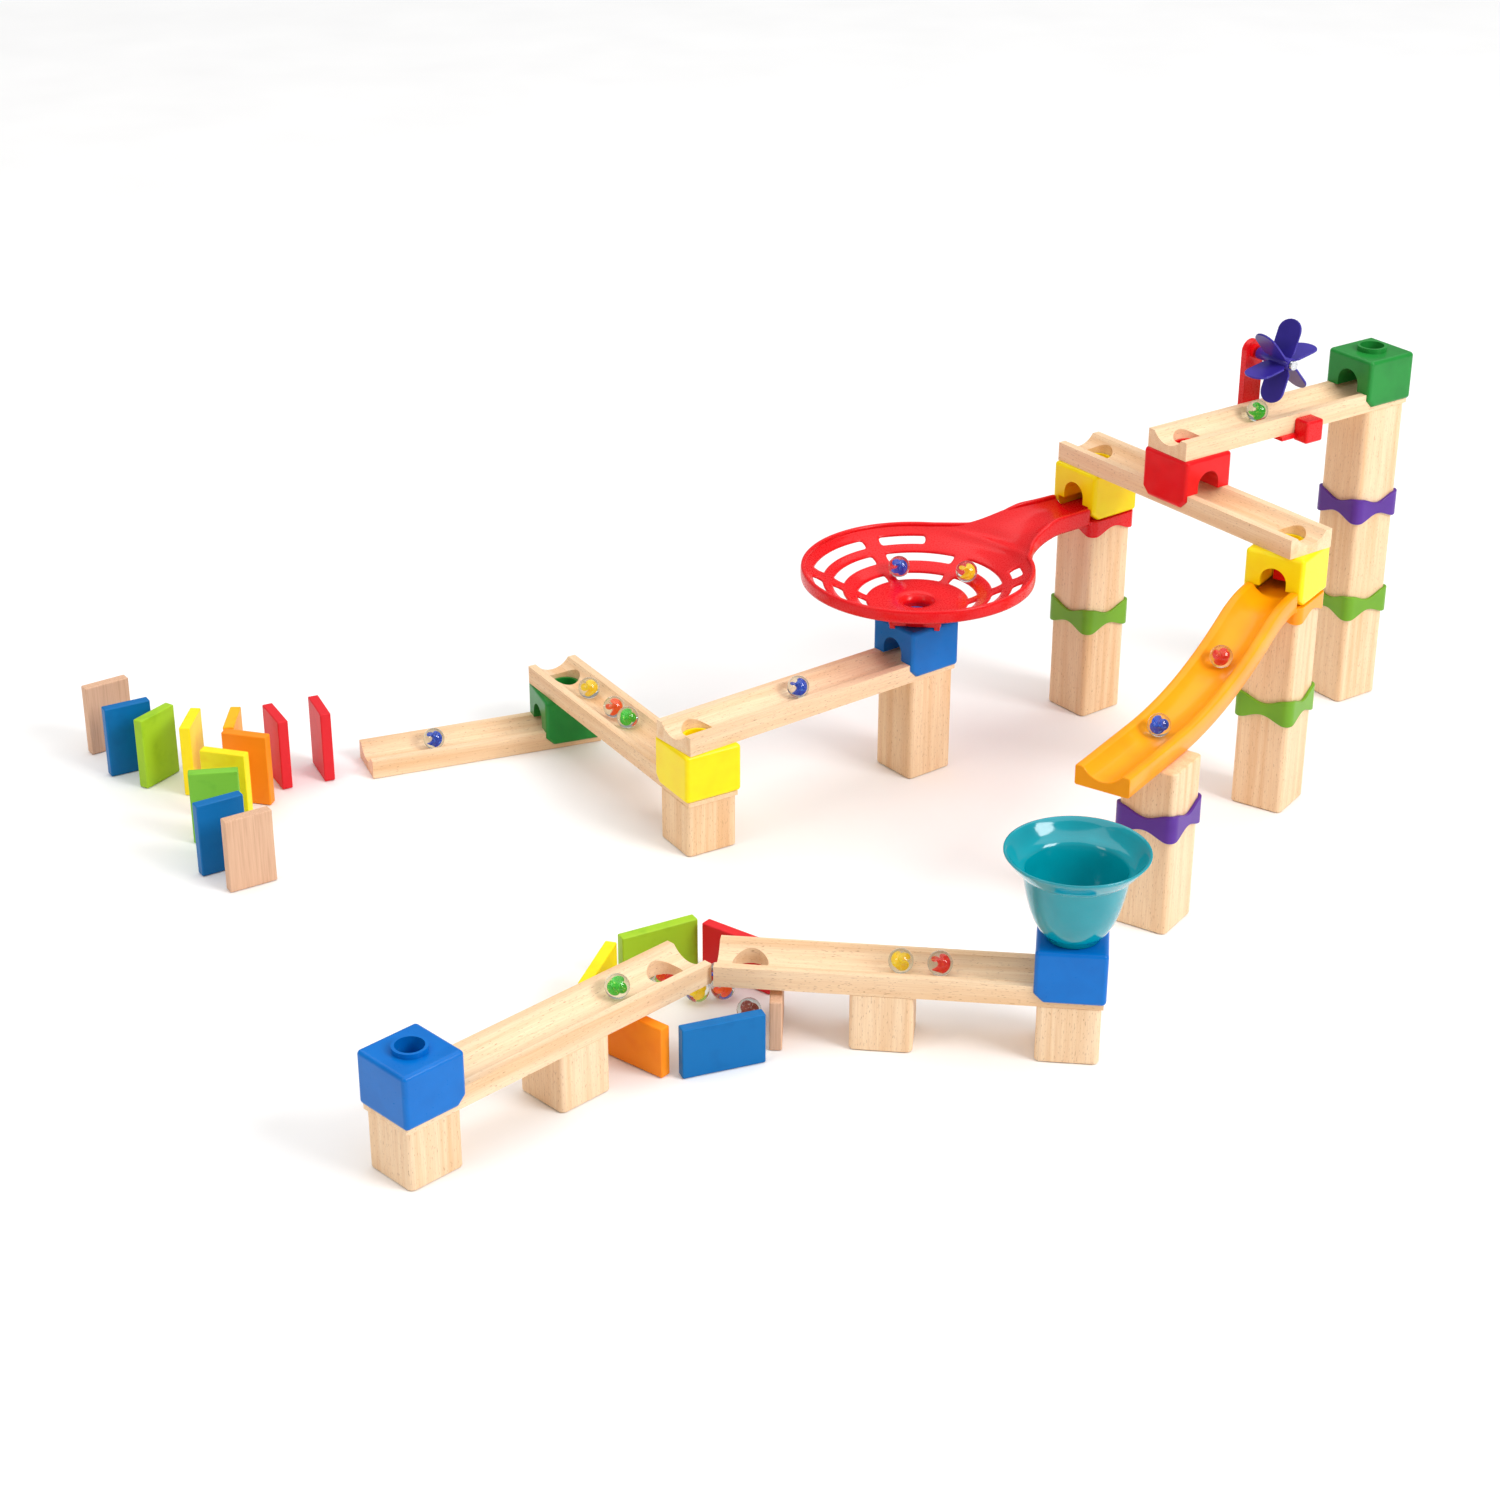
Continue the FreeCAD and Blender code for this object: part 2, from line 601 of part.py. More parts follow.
def make_funnel():
    """The funnel, standing over the ring of the block at Z = 0."""
    body = new_body("teal_funnel")
    rim, high, wall = dim("funnel_radius"), dim("funnel_high"), dim("funnel_wall")
    bore, step = dim("drop_radius"), high - dim("funnel_step")
    foot, foot_high = dim("funnel_foot"), dim("funnel_foot_high")
    waist, waist_high = dim("funnel_waist"), dim("funnel_waist_high")
    cup, ledge, floor = dim("funnel_cup"), dim("funnel_ledge"), dim("funnel_floor")
    outer = [(foot, ZERO), (foot, foot_high), (waist, waist_high)]
    outer += [(cup, step), (ledge, step + 1.0), (rim, high)]
    inner = [(rim - wall, high), (ledge - wall / 2, step + wall), (cup - wall, step),
             (waist - wall, floor), (bore, foot_high + wall), (bore, ZERO)]
    revolve(body, "funnel_shell", outer + inner)
    return body


def make_ramp(name):
    """The sloping insert at the bottom of a yellow block's hole."""
    body = new_body(name + "_wedge")
    reach = dim("ring_inner") - PLAY
    level = RAIL_HIGH + PLAY
    side = new_sketch(body, "XZ_Plane", name + "_slope")
    high = dim("ramp_high")
    top = (dim("ramp_top") - reach, level + high)
    toe = (reach - dim("ramp_toe"), level)
    draw_outline(side, [(-reach, level), toe, top, (-reach, level + high + 1.0)])
    pad(body, side, MODULE, name + "_width", both=True)
    plug = cylinder(name + "_plug", reach, MODULE)
    ramp = doc.addObject("Part::Common", name)
    ramp.Base = body
    ramp.Tool = plug
    return ramp


def make_bracket():
    """The windmill's bracket, in the frame of its rail: a strap below, an upright and a clip."""
    seat, level = dim("wheel_seat"), dim("axle_level")
    wall, strap_thick, half_wide = dim("bracket_wall"), dim("bracket_strap"), dim("bracket_half")
    gap = HALF + PLAY * 2
    back = -gap - wall
    clip_from, clip_to = seat - dim("clip_from"), seat - dim("clip_to")
    strap_end = (seat + half_wide, gap + strap_thick, ZERO)
    strap = box("bracket_strap", (clip_from, back, -strap_thick), strap_end)
    post_low = (seat - half_wide, back, -strap_thick)
    post = box("bracket_upright", post_low, (seat + half_wide, -gap, level))
    side = Vector(0, 1, 0)
    hub = (seat.value, back.value, level.value)
    head = cylinder("bracket_head", half_wide, wall, *hub, axis=side)
    boss = cylinder("bracket_boss", wall, dim("bracket_boss"), *hub, axis=side)
    clip_end = (clip_to, gap + dim("clip_deep"), dim("clip_high"))
    clip = box("bracket_clip", (clip_from, gap, -dim("clip_low")), clip_end)
    rounded = doc.addObject("Part::Fillet", "bracket_clip_round")
    doc.recompute()
    rounded.Base = clip
    radius = dim("clip_round").value
    outer_edges = [i + 1 for i, e in enumerate(clip.Shape.Edges) if e.BoundBox.YMax > gap.value + 1.0]
    rounded.Edges = [(number, radius, radius) for number in outer_edges]
    whole = fuse("bracket_whole", [strap, post, head, boss, rounded])
    bore_low = (seat.value, -MODULE.value, level.value)
    bore = cylinder("bracket_bore", dim("axle_radius"), MODULE, *bore_low, axis=side)
    return cut("windmill_bracket", whole, bore)


def make_axle():
    """The axle's length runs along Y; Y = 0 is over the middle of the rail."""
    side = Vector(0, 1, 0)
    back = HALF + PLAY * 2 + dim("bracket_wall")
    reach = dim("axle_out")
    pin = cylinder("axle_pin", dim("axle_radius"), back + reach, 0, -back.value, 0, side)
    cap = cylinder("axle_cap", dim("cap_radius"), dim("cap_long"), 0, reach.value - 0.2, 0, side)
    return fuse("windmill_axle", [pin, cap])


def make_wheel():
    """Six blades on a hub, turning about Y."""
    body = new_body("windmill_wheel")
    wide, reach = dim("wheel_wide"), dim("wheel_radius")
    low_y = -dim("wheel_back")
    high_y = low_y + wide
    petal = new_sketch(body, "YZ_Plane", "wheel_petal")
    root = dim("blade_root")
    neck = reach - dim("blade_tip")
    outline = [(low_y, root), (high_y, root), (high_y, neck), (low_y, neck)]
    draw_outline(petal, outline, {2: (dim("blade_round"), -1)})
    blade = pad(body, petal, dim("blade_thick"), "wheel_blade", both=True)
    pattern = body.newObject("PartDesign::PolarPattern", "wheel_blades")
    pattern.Originals = [blade]
    axis = [item for item in body.Origin.OriginFeatures if item.Role == "Y_Axis"][0]
    pattern.Axis = (axis, [""])
    pattern.Angle = 360.0
    pattern.Occurrences = 6
    body.Tip = pattern
    doc.recompute()
    side = Vector(0, 1, 0)
    hub = cylinder("wheel_hub", dim("hub_radius"), dim("hub_long"), 0, -dim("hub_back").value, 0, side)
    bore_radius = dim("axle_radius") + dim("bearing_play")
    bore = cylinder("wheel_bore", bore_radius, MODULE * 2, 0, -MODULE.value, 0, side)
    return cut("windmill_spinner", fuse("wheel_solid", [body, hub]), bore)


def marble(name, x, y, z):
    item = doc.addObject("Part::Sphere", name)
    bind(item, "Radius", dim("marble_radius"))
    item.Placement = Placement(Vector(x, y, z), Rotation())
    return item


# inner edge and width of each ring of slots in the bowl, and the start and sweep of each slot
SLOT_RINGS = [(as_size(37.5), as_size(5.5)), (as_size(54.0), as_size(7.0)), (as_size(69.0), as_size(7.0))]
SLOT_SECTORS = [(22.0 + 60.0 * k, 52.0) for k in range(6)]


# ---------------------------------------------------------------- the layout
def unit(heading):
    return math.cos(math.radians(heading)), math.sin(math.radians(heading))


def along(start, heading, distance, aside=0.0):
    """The place at a distance along a heading, and so far to its left."""
    ux, uy = unit(heading)
    return start[0] + ux * distance - uy * aside, start[1] + uy * distance + ux * aside


# each piece's heading, in degrees from +X
HEADINGS = {"rail1": 214.7, "rail2": 306.0, "bowl": 217.5, "rail3": 217.5, "rail4": 121.3, "rail5": 201.2,
            "slide": 236.0, "rail6": 173.2, "rail7": 44.5}
STOREY = MODULE.value
tower_b = (263.7, 303.6)
tower_c = along(tower_b, HEADINGS["rail2"], PITCH.value)
red_place = along(tower_b, HEADINGS["rail2"], dim("red_seat").value)
tower_a = along(red_place, HEADINGS["rail1"], -dim("windmill_pitch").value)
bowl_place = along(tower_b, HEADINGS["bowl"], dim("arm_reach").value)
corner_e = along(bowl_place, HEADINGS["rail3"], PITCH.value)
corner_f = along(corner_e, HEADINGS["rail4"], PITCH.value)
slide_post = along(tower_c, HEADINGS["slide"], 205.0, 10.0)
start_g = (201.3, -199.3)
start_h = (-193.3, -329.4)
prop_g = along(start_g, HEADINGS["rail6"], 116.0)
prop_h = along(start_h, HEADINGS["rail7"], 116.0)

# posts, bottom to top: node name, place, turn, floor level, long or short
LONG, SHORT = dim("post_long"), MODULE
POSTS = [
    ("tower_a_post_low", tower_a, HEADINGS["rail1"], 0, LONG),
    ("tower_a_post_middle", tower_a, HEADINGS["rail1"], 2, LONG),
    ("tower_a_post_top", tower_a, HEADINGS["rail1"], 4, LONG),
    ("tower_b_post_low", tower_b, HEADINGS["bowl"], 0, LONG),
    ("tower_b_post_top", tower_b, HEADINGS["bowl"], 2, LONG),
    ("tower_c_post_low", tower_c, HEADINGS["slide"], 0, LONG),
    ("tower_c_post_top", tower_c, HEADINGS["slide"], 2, LONG),
    ("slide_post_low", slide_post, HEADINGS["slide"], 0, LONG),
    ("slide_post_top", slide_post, HEADINGS["slide"], 2, SHORT),
    ("bowl_post", bowl_place, HEADINGS["rail3"], 0, LONG),
    ("corner_post", corner_e, HEADINGS["rail4"], 0, SHORT),
]
for label, spot, turn, storeys, height in POSTS:
    finish(make_post(label, height), label, spot[0], spot[1], storeys * STOREY, turn)

PAIRS = {
    "start_posts": [(start_g, HEADINGS["rail6"]), (start_h, HEADINGS["rail7"])],
    "prop_posts": [(prop_g, HEADINGS["rail6"]), (prop_h, HEADINGS["rail7"])],
}
for label, spots in PAIRS.items():
    pair = [place(make_post("%s_%d" % (label, i), SHORT), x, y, 0, turn)
            for i, ((x, y), turn) in enumerate(spots)]
    group(label, pair)

COLLARS = {
    "green_collars": [(tower_a, "rail1", 2), (tower_b, "bowl", 2), (tower_c, "slide", 2)],
    "purple_collars": [(tower_a, "rail1", 4), (slide_post, "slide", 2)],
}
for label, joints in COLLARS.items():
    rings = [place(make_collar("%s_%d" % (label, i)), spot[0], spot[1], storeys * STOREY, HEADINGS[key])
             for i, (spot, key, storeys) in enumerate(joints)]
    group(label, rings)

# rails: node name, heading, origin, storeys, low end, high end, seat, drop holes
FAR_END = PITCH + RAIL_END
SHORT_PITCH = dim("windmill_pitch")
RAILS = [
    ("rail_1_windmill", "rail1", tower_a, 6, -RAIL_END, SHORT_PITCH + RAIL_END, ZERO, [SHORT_PITCH]),
    ("rail_2_crossing", "rail2", tower_b, 5, -RAIL_END, FAR_END, dim("red_seat"), [ZERO, PITCH]),
    ("rail_3_bowl_exit", "rail3", bowl_place, 2, -RAIL_END, FAR_END, ZERO, [PITCH]),
    ("rail_4_return", "rail4", corner_e, 1, -RAIL_END, FAR_END, ZERO, [PITCH]),
    ("rail_5_floor", "rail5", corner_f, 0, -RAIL_END, dim("floor_run"), ZERO, []),
    ("rail_6_pen_right", "rail6", start_g, 1, -RAIL_END, FAR_END, ZERO, [PITCH]),
    ("rail_7_pen_left", "rail7", start_h, 1, -RAIL_END, FAR_END, ZERO, [PITCH]),
]
for label, key, spot, storeys, low, high, seat, drops in RAILS:
    rail = make_rail(label, low, high, seat, drops, ends_here=key != "rail2")
    finish(rail, label, spot[0], spot[1], storeys * STOREY, HEADINGS[key])

# blocks: node name, heading of the exit, place, storeys
BLOCKS = [
    ("green_block_a", "rail1", tower_a, 6),
    ("red_block", "rail2", red_place, 5),
    ("yellow_block_b", "bowl", tower_b, 4),
    ("yellow_block_c", "slide", tower_c, 4),
    ("blue_block_d", "rail3", bowl_place, 2),
    ("yellow_block_e", "rail4", corner_e, 1),
    ("green_block_f", "rail5", corner_f, 0),
    ("blue_block_g", "rail6", start_g, 1),
    ("blue_block_h", "rail7", start_h, 1),
]
ramps = []
for label, key, spot, storeys in BLOCKS:
    block = make_block(label, through=label == "red_block")
    finish(block, label, spot[0], spot[1], storeys * STOREY, HEADINGS[key])
    if label.startswith("yellow"):
        ramp = make_ramp("red_ramp_" + label[-1])
        ramps.append(place(ramp, spot[0], spot[1], storeys * STOREY, HEADINGS[key]))
group("red_ramps", ramps)

finish(make_bowl(), "red_spiral_bowl", bowl_place[0], bowl_place[1], 3 * STOREY, HEADINGS["bowl"] - 180.0)
finish(make_slide(), "orange_slide", tower_c[0], tower_c[1], 4 * STOREY, HEADINGS["slide"])
finish(make_funnel(), "teal_funnel", start_g[0], start_g[1], 2 * STOREY)

# windmill
rail_level = 6 * STOREY
finish(make_bracket(), "windmill_bracket", tower_a[0], tower_a[1], rail_level, HEADINGS["rail1"])
hub_place = along(tower_a, HEADINGS["rail1"], dim("wheel_seat").value)
hub_level = rail_level + dim("axle_level").value
finish(make_axle(), "windmill_axle", hub_place[0], hub_place[1], hub_level, HEADINGS["rail1"])
WHEEL_PHASE = 41.0
spinner = make_wheel()
finish(spinner, "windmill_spinner", hub_place[0], hub_place[1], hub_level)
wheel_turn = Rotation(Vector(0, 0, 1), HEADINGS["rail1"]).multiply(Rotation(Vector(0, 1, 0), WHEEL_PHASE))
spinner.Placement = Placement(Vector(hub_place[0], hub_place[1], hub_level), wheel_turn)

# the domino line: name, place of the middle, heading in which it falls
DOMINOES = [
    ("domino_01_red", (-315.9, 183.1), 203.0),
    ("domino_02_red", (-346.6, 169.7), 207.5),
    ("domino_03_amber", (-377.1, 163.0), 180.0),
    ("domino_04_yellow", (-407.6, 161.0), 176.0),
    ("domino_05_lime", (-436.0, 170.9), 148.0),
    ("domino_06_blue", (-459.4, 185.7), 120.0),
    ("domino_07_natural", (-482.4, 223.5), 126.0),
    ("domino_08_orange", (-363.0, 135.9), 255.0),
    ("domino_09_yellow", (-373.8, 106.7), 254.5),
    ("domino_10_green", (-376.4, 75.6), 278.5),
    ("domino_11_blue", (-366.1, 33.0), 303.0),
    ("domino_12_natural", (-342.7, 9.8), 302.5),
]
for label, spot, heading in DOMINOES:
    piece = make_domino(label, dim("domino_high"), dim("domino_wide"))
    finish(piece, label, spot[0], spot[1], 0, heading)

# the pen: dominoes on their long edges, by place of the middle and heading of their length
PEN = [
    ("pen_yellow", (-94.7, -154.6), 74.0),
    ("pen_lime", (-57.6, -109.1), 28.5),
    ("pen_red", (-4.7, -118.0), 143.4),
    ("pen_natural", (19.4, -177.0), 88.0),
    ("pen_blue", (-14.7, -224.0), 20.8),
    ("pen_orange", (-70.8, -216.4), 141.0),
]
fence = []
for label, (x, y), heading in PEN:
    slab = make_domino(label, dim("domino_wide"), dim("domino_high"))
    fence.append(place(slab, x, y, 0, heading - 90.0))
group("pen_dominoes", fence)

# marbles in a groove, by the distance from the rail's seat
LIFT = 0.3
groove_floor = RAIL_HIGH.value - dim("groove_deep").value
marble_level = groove_floor + dim("marble_radius").value + LIFT
TRACK_MARBLES = {
    "marble_rail_1": ("rail1", tower_a, 6, [114.4]),
    "marble_rail_3": ("rail3", bowl_place, 2, [110.3]),
    "marbles_rail_4": ("rail4", corner_e, 1, [102.0, 122.5, 161.0]),
    "marble_rail_5": ("rail5", corner_f, 0, [104.4]),
    "marbles_rail_6": ("rail6", start_g, 1, [81.0, 105.5]),
    "marble_rail_7": ("rail7", start_h, 1, [160.0]),
}
for label, (key, spot, storeys, distances) in TRACK_MARBLES.items():
    balls = []
    for index, distance in enumerate(distances):
        x, y = along(spot, HEADINGS[key], distance)
        balls.append(marble("%s_%d" % (label, index), x, y, storeys * STOREY + marble_level))
    group(label, balls)

# marbles on the slide's long sweep, by the angle from the foot of the sweep
sweep_radius = dim("slide_sweep").value
angle = math.radians(dim("slide_angle").value)
sweep_end = dim("slide_level").value + (dim("slide_crest").value + sweep_radius) * math.sin(angle)
drop = (dim("slide_crest").value + sweep_radius) * (1 - math.cos(angle))
axis_level = sweep_radius - drop + dim("slide_side").value - dim("groove_deep").value
axis_level += dim("groove_radius").value
marble_arm = sweep_radius + dim("groove_radius").value - dim("marble_radius").value - LIFT
balls = []
for index, tilt in enumerate((17.5, 1.4)):
    reach = sweep_end - marble_arm * math.sin(math.radians(tilt))
    x, y = along(tower_c, HEADINGS["slide"], reach)
    level = 4 * STOREY + axis_level - marble_arm * math.cos(math.radians(tilt))
    balls.append(marble("marble_slide_%d" % index, x, y, level))
group("marbles_slide", balls)

# marbles circling in the bowl: angle and radius about the drain, and height over the block
BOWL_MARBLES = [(108.1, 37.9, 24.6), (29.7, 42.8, 27.0)]
balls = []
for index, (heading, radius, level) in enumerate(BOWL_MARBLES):
    x, y = along(bowl_place, heading, radius)
    balls.append(marble("marble_bowl_%d" % index, x, y, 3 * STOREY + level))
group("marbles_bowl", balls)

PEN_MARBLES = [(-18.5, -124.6), (-15.1, -141.0), (-31.6, -144.5), (1.8, -168.9), (-52.6, -125.0)]
floor_level = dim("marble_radius").value
balls = [marble("marble_pen_%d" % i, x, y, floor_level) for i, (x, y) in enumerate(PEN_MARBLES)]
group("marbles_pen", balls)

# ---------------------------------------------------------------- checks and export
doc.recompute()
for item in doc.Objects:
    if any(word in item.State for word in ("Invalid", "Error")):
        raise RuntimeError("%s did not build: %s" % (item.Name, item.State))
for item in subparts:
    if item.Shape.isNull() or not item.Shape.isValid() or not item.Shape.Solids:
        raise RuntimeError("%s has no valid solid" % item.Label)
os.makedirs("parts", exist_ok=True)
whole = FreeCAD.BoundBox()
for item in subparts:
    item.Shape.exportStep("parts/%s.step" % item.Label)
    whole.add(item.Shape.BoundBox)
print("%d nodes" % len(subparts), whole)
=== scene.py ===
import bpy
import bmesh
import json
import math
import random
from mathutils import Matrix, Vector


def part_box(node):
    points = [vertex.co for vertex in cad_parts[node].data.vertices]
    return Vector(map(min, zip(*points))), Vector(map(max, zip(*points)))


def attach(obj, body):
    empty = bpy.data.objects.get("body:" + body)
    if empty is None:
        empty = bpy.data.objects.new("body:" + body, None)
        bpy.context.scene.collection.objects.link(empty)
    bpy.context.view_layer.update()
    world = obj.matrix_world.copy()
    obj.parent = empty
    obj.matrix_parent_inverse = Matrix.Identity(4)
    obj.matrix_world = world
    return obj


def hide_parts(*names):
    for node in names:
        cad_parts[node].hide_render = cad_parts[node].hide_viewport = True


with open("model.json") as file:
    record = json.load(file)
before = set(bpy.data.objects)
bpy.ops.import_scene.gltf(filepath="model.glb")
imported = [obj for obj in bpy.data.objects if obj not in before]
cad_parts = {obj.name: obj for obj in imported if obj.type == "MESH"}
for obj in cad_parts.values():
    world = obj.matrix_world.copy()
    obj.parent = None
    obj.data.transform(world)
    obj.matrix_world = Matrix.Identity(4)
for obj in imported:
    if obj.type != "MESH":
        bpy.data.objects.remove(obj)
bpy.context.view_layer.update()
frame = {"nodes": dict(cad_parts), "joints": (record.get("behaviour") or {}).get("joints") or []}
nodes = frame["nodes"]
MM = 0.001

# ---------------------------------------------------------------- the layout, from the frame
HEADINGS = {"rail_1": 214.7, "rail_2": 306.0, "bowl": 217.5, "rail_3": 217.5, "rail_4": 121.3,
            "rail_5": 201.2, "slide": 236.0, "rail_6": 173.2, "rail_7": 44.5}
STOREY = 40.0
HALF = STOREY / 2
BLOCK_HALF = 22.5
RAIL_END = 21.0


def middle(node):
    """The middle of a node's box, in millimetres."""
    low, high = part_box(node)
    return (low + high) / (2 * MM)


def foot(node):
    """The middle of the underside of a node's box, in millimetres."""
    spot = middle(node)
    return Vector((spot.x, spot.y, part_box(node)[0].z / MM))


def local_frame(origin, heading):
    """Millimetres in a piece's own frame, turned to its heading, to metres in the row's frame."""
    turn = Matrix.Rotation(math.radians(heading), 4, "Z")
    return Matrix.Scale(MM, 4) @ Matrix.Translation(origin) @ turn


# ---------------------------------------------------------------- material helpers
def rgb(red, green, blue):
    """A colour given as it looks on a screen, 0 to 255, in the renderer's linear values."""
    def linear(value):
        share = value / 255.0
        return share / 12.92 if share <= 0.04045 else ((share + 0.055) / 1.055) ** 2.4
    return linear(red), linear(green), linear(blue), 1.0


class Shader:
    """A material and short ways to add and join its nodes."""

    def __init__(self, name):
        self.material = bpy.data.materials.new(name)
        self.material.use_nodes = True
        self.tree = self.material.node_tree
        self.surface = self.tree.nodes["Principled BSDF"]

    def add(self, kind, **settings):
        node = self.tree.nodes.new(kind)
        for key, value in settings.items():
            setattr(node, key, value)
        return node

    def join(self, source, target):
        self.tree.links.new(source, target)

    def set(self, **values):
        for key, value in values.items():
            self.surface.inputs[key.replace("_", " ")].default_value = value

    def coordinates(self, turn=0.0, scale=(1, 1, 1), shift=(0, 0, 0)):
        place = self.add("ShaderNodeTexCoord")
        rotated = self.add("ShaderNodeMapping")
        rotated.inputs["Rotation"].default_value = (0, 0, math.radians(-turn))
        scaled = self.add("ShaderNodeMapping")
        scaled.inputs["Scale"].default_value = scale
        scaled.inputs["Location"].default_value = shift
        self.join(place.outputs["Object"], rotated.inputs["Vector"])
        self.join(rotated.outputs["Vector"], scaled.inputs["Vector"])
        return scaled.outputs["Vector"]

    def noise(self, vector, scale, detail=3.0, roughness=0.55):
        node = self.add("ShaderNodeTexNoise")
        node.inputs["Scale"].default_value = scale
        node.inputs["Detail"].default_value = detail
        node.inputs["Roughness"].default_value = roughness
        self.join(vector, node.inputs["Vector"])
        return node.outputs["Fac"]

    def ramp(self, value, stops):
        node = self.add("ShaderNodeValToRGB")
        elements = node.color_ramp.elements
        while len(elements) < len(stops):
            elements.new(0.5)
        for element, (position, colour) in zip(elements, stops):
            element.position = position
            element.color = colour
        self.join(value, node.inputs["Fac"])
        return node.outputs["Color"]

    def mix(self, share, first, second, mode="MIX"):
        node = self.add("ShaderNodeMix", data_type="RGBA", blend_type=mode)
        for socket, value in ((node.inputs[0], share), (node.inputs[6], first), (node.inputs[7], second)):
            if isinstance(value, bpy.types.NodeSocket):
                self.join(value, socket)
            else:
                socket.default_value = value
        return node.outputs[2]

    def span(self, value, low, high):
        node = self.add("ShaderNodeMapRange")
        node.inputs["To Min"].default_value = low
        node.inputs["To Max"].default_value = high
        self.join(value, node.inputs["Value"])
        return node.outputs["Result"]

    def bump(self, height, strength, distance):
        node = self.add("ShaderNodeBump")
        node.inputs["Strength"].default_value = strength
        node.inputs["Distance"].default_value = distance
        self.join(height, node.inputs["Height"])
        self.join(node.outputs["Normal"], self.surface.inputs["Normal"])


def beech(name, grain, heading=0.0, seed=0, tone=0.0):
    """Smooth beech with short flecks. grain is the direction of its fibres, X (along the heading) or Z."""
    shader = Shader(name)
    random.seed(seed)
    shift = [random.uniform(-40, 40) for _ in range(3)]
    slow, quick = 34.0, 1150.0
    long = {"X": (slow, quick, quick), "Z": (quick, quick, slow)}[grain]
    fibres = shader.noise(shader.coordinates(heading, long, shift), 1.0, 4.0, 0.6)
    band_scale = {"X": (2.6, 105.0, 60.0), "Z": (105.0, 80.0, 3.2)}[grain]
    bands = shader.noise(shader.coordinates(heading, band_scale, shift), 1.0, 2.0, 0.5)
    fleck_scale = {"X": (330.0, 2100.0, 1700.0), "Z": (2100.0, 2100.0, 330.0)}[grain]
    flecks = shader.noise(shader.coordinates(heading, fleck_scale, shift), 1.0, 1.0, 0.4)
    light = rgb(248 - 5 * tone, 219 - 9 * tone, 183 - 14 * tone)
    warm = rgb(236 - 7 * tone, 196 - 12 * tone, 152 - 16 * tone)
    dark = rgb(208, 152, 104)
    wood = shader.ramp(bands, [(0.30, warm), (0.52, light), (0.75, warm)])
    wood = shader.mix(shader.ramp(fibres, [(0.34, (0.26,) * 4), (0.60, (0,) * 4)]), wood, dark)
    spots = shader.ramp(flecks, [(0.28, (0.5,) * 4), (0.34, (0,) * 4)])
    wood = shader.mix(spots, wood, rgb(150, 92, 58))
    shader.join(wood, shader.surface.inputs["Base Color"])
    shader.join(shader.span(fibres, 0.34, 0.52), shader.surface.inputs["Roughness"])
    shader.set(Specular_IOR_Level=0.28)
    shader.bump(fibres, 0.12, 0.00008)
    return shader.material


def bare_wood(name, heading, seed):
    """Sanded, unlacquered domino wood, paler and duller than the rails."""
    shader = Shader(name)
    shift = (seed * 3.1, seed * 1.7, seed * 2.3)
    fibres = shader.noise(shader.coordinates(heading, (900.0, 900.0, 26.0), shift), 1.0, 4.0, 0.6)
    dark, middling, pale = rgb(204, 158, 126), rgb(218, 174, 142), rgb(226, 184, 152)
    wood = shader.ramp(fibres, [(0.30, dark), (0.48, middling), (0.7, pale)])
    shader.join(wood, shader.surface.inputs["Base Color"])
    shader.join(shader.span(fibres, 0.55, 0.72), shader.surface.inputs["Roughness"])
    shader.bump(fibres, 0.25, 0.0001)
    return shader.material


def lacquer(name, colour, deep):
    """Smooth paint on a wooden block, with soft orange peel and faintly deeper patches."""
    shader = Shader(name)
    place = shader.coordinates()
    patches = shader.noise(place, 55.0, 2.0)
    coat = shader.ramp(patches, [(0.32, deep), (0.62, colour)])
    shader.join(coat, shader.surface.inputs["Base Color"])
    peel = shader.noise(place, 620.0, 2.0)
    shader.join(shader.span(peel, 0.24, 0.36), shader.surface.inputs["Roughness"])
    shader.set(Coat_Weight=0.14, Coat_Roughness=0.09, Specular_IOR_Level=0.18)
    shader.bump(peel, 0.10, 0.00012)
    return shader.material


def paint(name, colour, deep, heading=0.0):
    """Thin satin paint, through which the domino's vertical fibres still show."""
    shader = Shader(name)
    fibres = shader.noise(shader.coordinates(heading, (700.0, 700.0, 30.0)), 1.0, 3.0)
    patches = shader.noise(shader.coordinates(), 70.0, 2.0)
    coat = shader.ramp(patches, [(0.12, deep), (0.46, colour)])
    coat = shader.mix(shader.span(fibres, 0.0, 0.10), coat, deep)
    shader.join(coat, shader.surface.inputs["Base Color"])
    shader.join(shader.span(fibres, 0.34, 0.50), shader.surface.inputs["Roughness"])
    shader.set(Specular_IOR_Level=0.2)
    shader.bump(fibres, 0.18, 0.00008)
    return shader.material


def plastic(name, colour, deep, gloss=0.2, shine=0.22):
    """Moulded gloss plastic with faint flow marks."""
    shader = Shader(name)
    place = shader.coordinates()
    flow = shader.noise(place, 32.0, 2.0)
    tint = shader.ramp(flow, [(0.30, deep), (0.65, colour)])
    shader.join(tint, shader.surface.inputs["Base Color"])
    grain = shader.noise(place, 900.0, 2.0)
    shader.join(shader.span(grain, gloss, gloss + 0.12), shader.surface.inputs["Roughness"])
    shader.set(Coat_Weight=0.16, Coat_Roughness=0.08, Specular_IOR_Level=shine)
    shader.bump(grain, 0.06, 0.00008)
    return shader.material


def metal(name):
    shader = Shader(name)
    lines = shader.noise(shader.coordinates(0, (300.0, 300.0, 2400.0)), 1.0, 2.0)
    shader.join(shader.ramp(lines, [(0.3, rgb(170, 172, 176)), (0.7, rgb(226, 228, 230))]),
                shader.surface.inputs["Base Color"])
    shader.join(shader.span(lines, 0.16, 0.30), shader.surface.inputs["Roughness"])
    shader.set(Metallic=1.0)
    return shader.material


